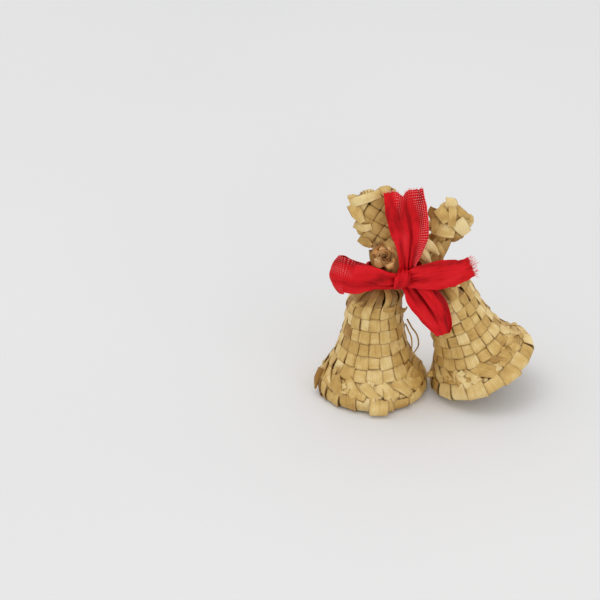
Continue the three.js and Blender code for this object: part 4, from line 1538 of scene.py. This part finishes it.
RIGHT_KNOB_FOLDS = (
    LooseStraw(((7.6, -1.6, 69.0), (9.8, -2.4, 67.3), (12.4, -0.6, 64.8)), 2.6, tip=0.5, tone=0.35),
    LooseStraw(((6.3, -1.2, 68.6), (5.8, -0.6, 70.4), (4.5, 0.4, 71.8)), 4.4, tip=0.12, tone=0.85),
    LooseStraw(((8.0, -3.2, 65.3), (9.6, -3.1, 62.9), (11.4, -1.6, 59.8)), 4.8, tip=0.75, tone=0.98),
    LooseStraw(((7.6, -2.0, 60.2), (9.0, -1.8, 59.3), (10.4, -1.0, 58.4)), 2.6, tip=0.7, tone=0.2),
    LooseStraw(((0.6, -0.6, 68.6), (-0.1, -1.0, 66.8), (0.8, -1.6, 64.8)), 2.6, tip=0.8, tone=0.0),
    LooseStraw(((0.9, -1.8, 65.6), (1.0, -2.4, 63.0), (0.9, -1.8, 60.0)), 2.6, tip=0.8, tone=0.35),
    LooseStraw(((3.0, -1.4, 59.8), (3.3, -1.2, 57.6), (3.5, -0.4, 55.4)), 3.0, tip=0.8, tone=0.25),
    LooseStraw(((1.8, -1.8, 69.0), (3.4, -3.1, 67.2), (4.9, -3.3, 65.0)), 3.8, tip=0.9, tone=0.45),
    LooseStraw(((1.6, -2.2, 61.8), (4.4, -3.5, 61.6), (7.4, -3.0, 60.8)), 4.4, tip=0.9, tone=0.7, fold=0.15),
    LooseStraw(((6.5, -1.6, 69.3), (6.4, -3.4, 66.6), (6.1, -3.7, 63.4)), 2.7,
               fold=0.15, tip=0.95, tone=0.62),
)


def main() -> None:
    """Builds the pieces in order."""
    logging.basicConfig(level=logging.INFO, format="%(name)s: %(message)s")
    straw = StrawFinish().material()
    ribbon = RibbonFinish().material()
    left = WovenBell(
        "woven_bell_left", "left_bell", (-18.1, 0.1, 0), mouth_radius=18.3, border_radius=18.2,
        hem_radius=17.3, waist_radius=7.4, flare_length=13, shoulder_at=35.6, neck_top=52.0,
        neck_shift=3.0, seed=3, stray_ends=LEFT_STRAY_ENDS, loose_straws=LEFT_LOOSE_STRAWS,
    )
    right = WovenBell(
        "woven_bell_right", "right_bell", (19.2, 0, 8.19), mouth_radius=18.7, border_radius=16.6,
        hem_radius=15.7, waist_radius=8.2, flare_length=10, shoulder_at=33.4, neck_top=44.0,
        tilt=25, lean=2.6, seed=4, stray_ends=RIGHT_STRAY_ENDS,
    )
    left.build(straw)
    right.build(straw)
    PlaitedKnob(
        "plaited_knob_left", "left_knob", (-17.2, 1.2, 63.6), straws_across=5, straws_high=7, depth=7.5,
        foot=0.62, turn=15, folds=LEFT_KNOB_FOLDS, core=((-15.0, 0.2, 49.4), (-17.0, 1.1, 58.6)), seed=5,
    ).build(straw)
    PlaitedKnob(
        "plaited_knob_right", "right_knob", (6.2, 1.2, 62.2), straws_across=4, straws_high=4, depth=6.5,
        foot=0.9, turn=-35, straw=3.85, folds=RIGHT_KNOB_FOLDS, seed=6,
    ).build(straw)
    RolledCurl().build(WARM_STRAW.material())
    FoldedTuft().build(straw)
    RibbonBow().build(ribbon, [left, right])
    Studio().build(TableFinish().material())


if __name__ == "__main__":
    main()
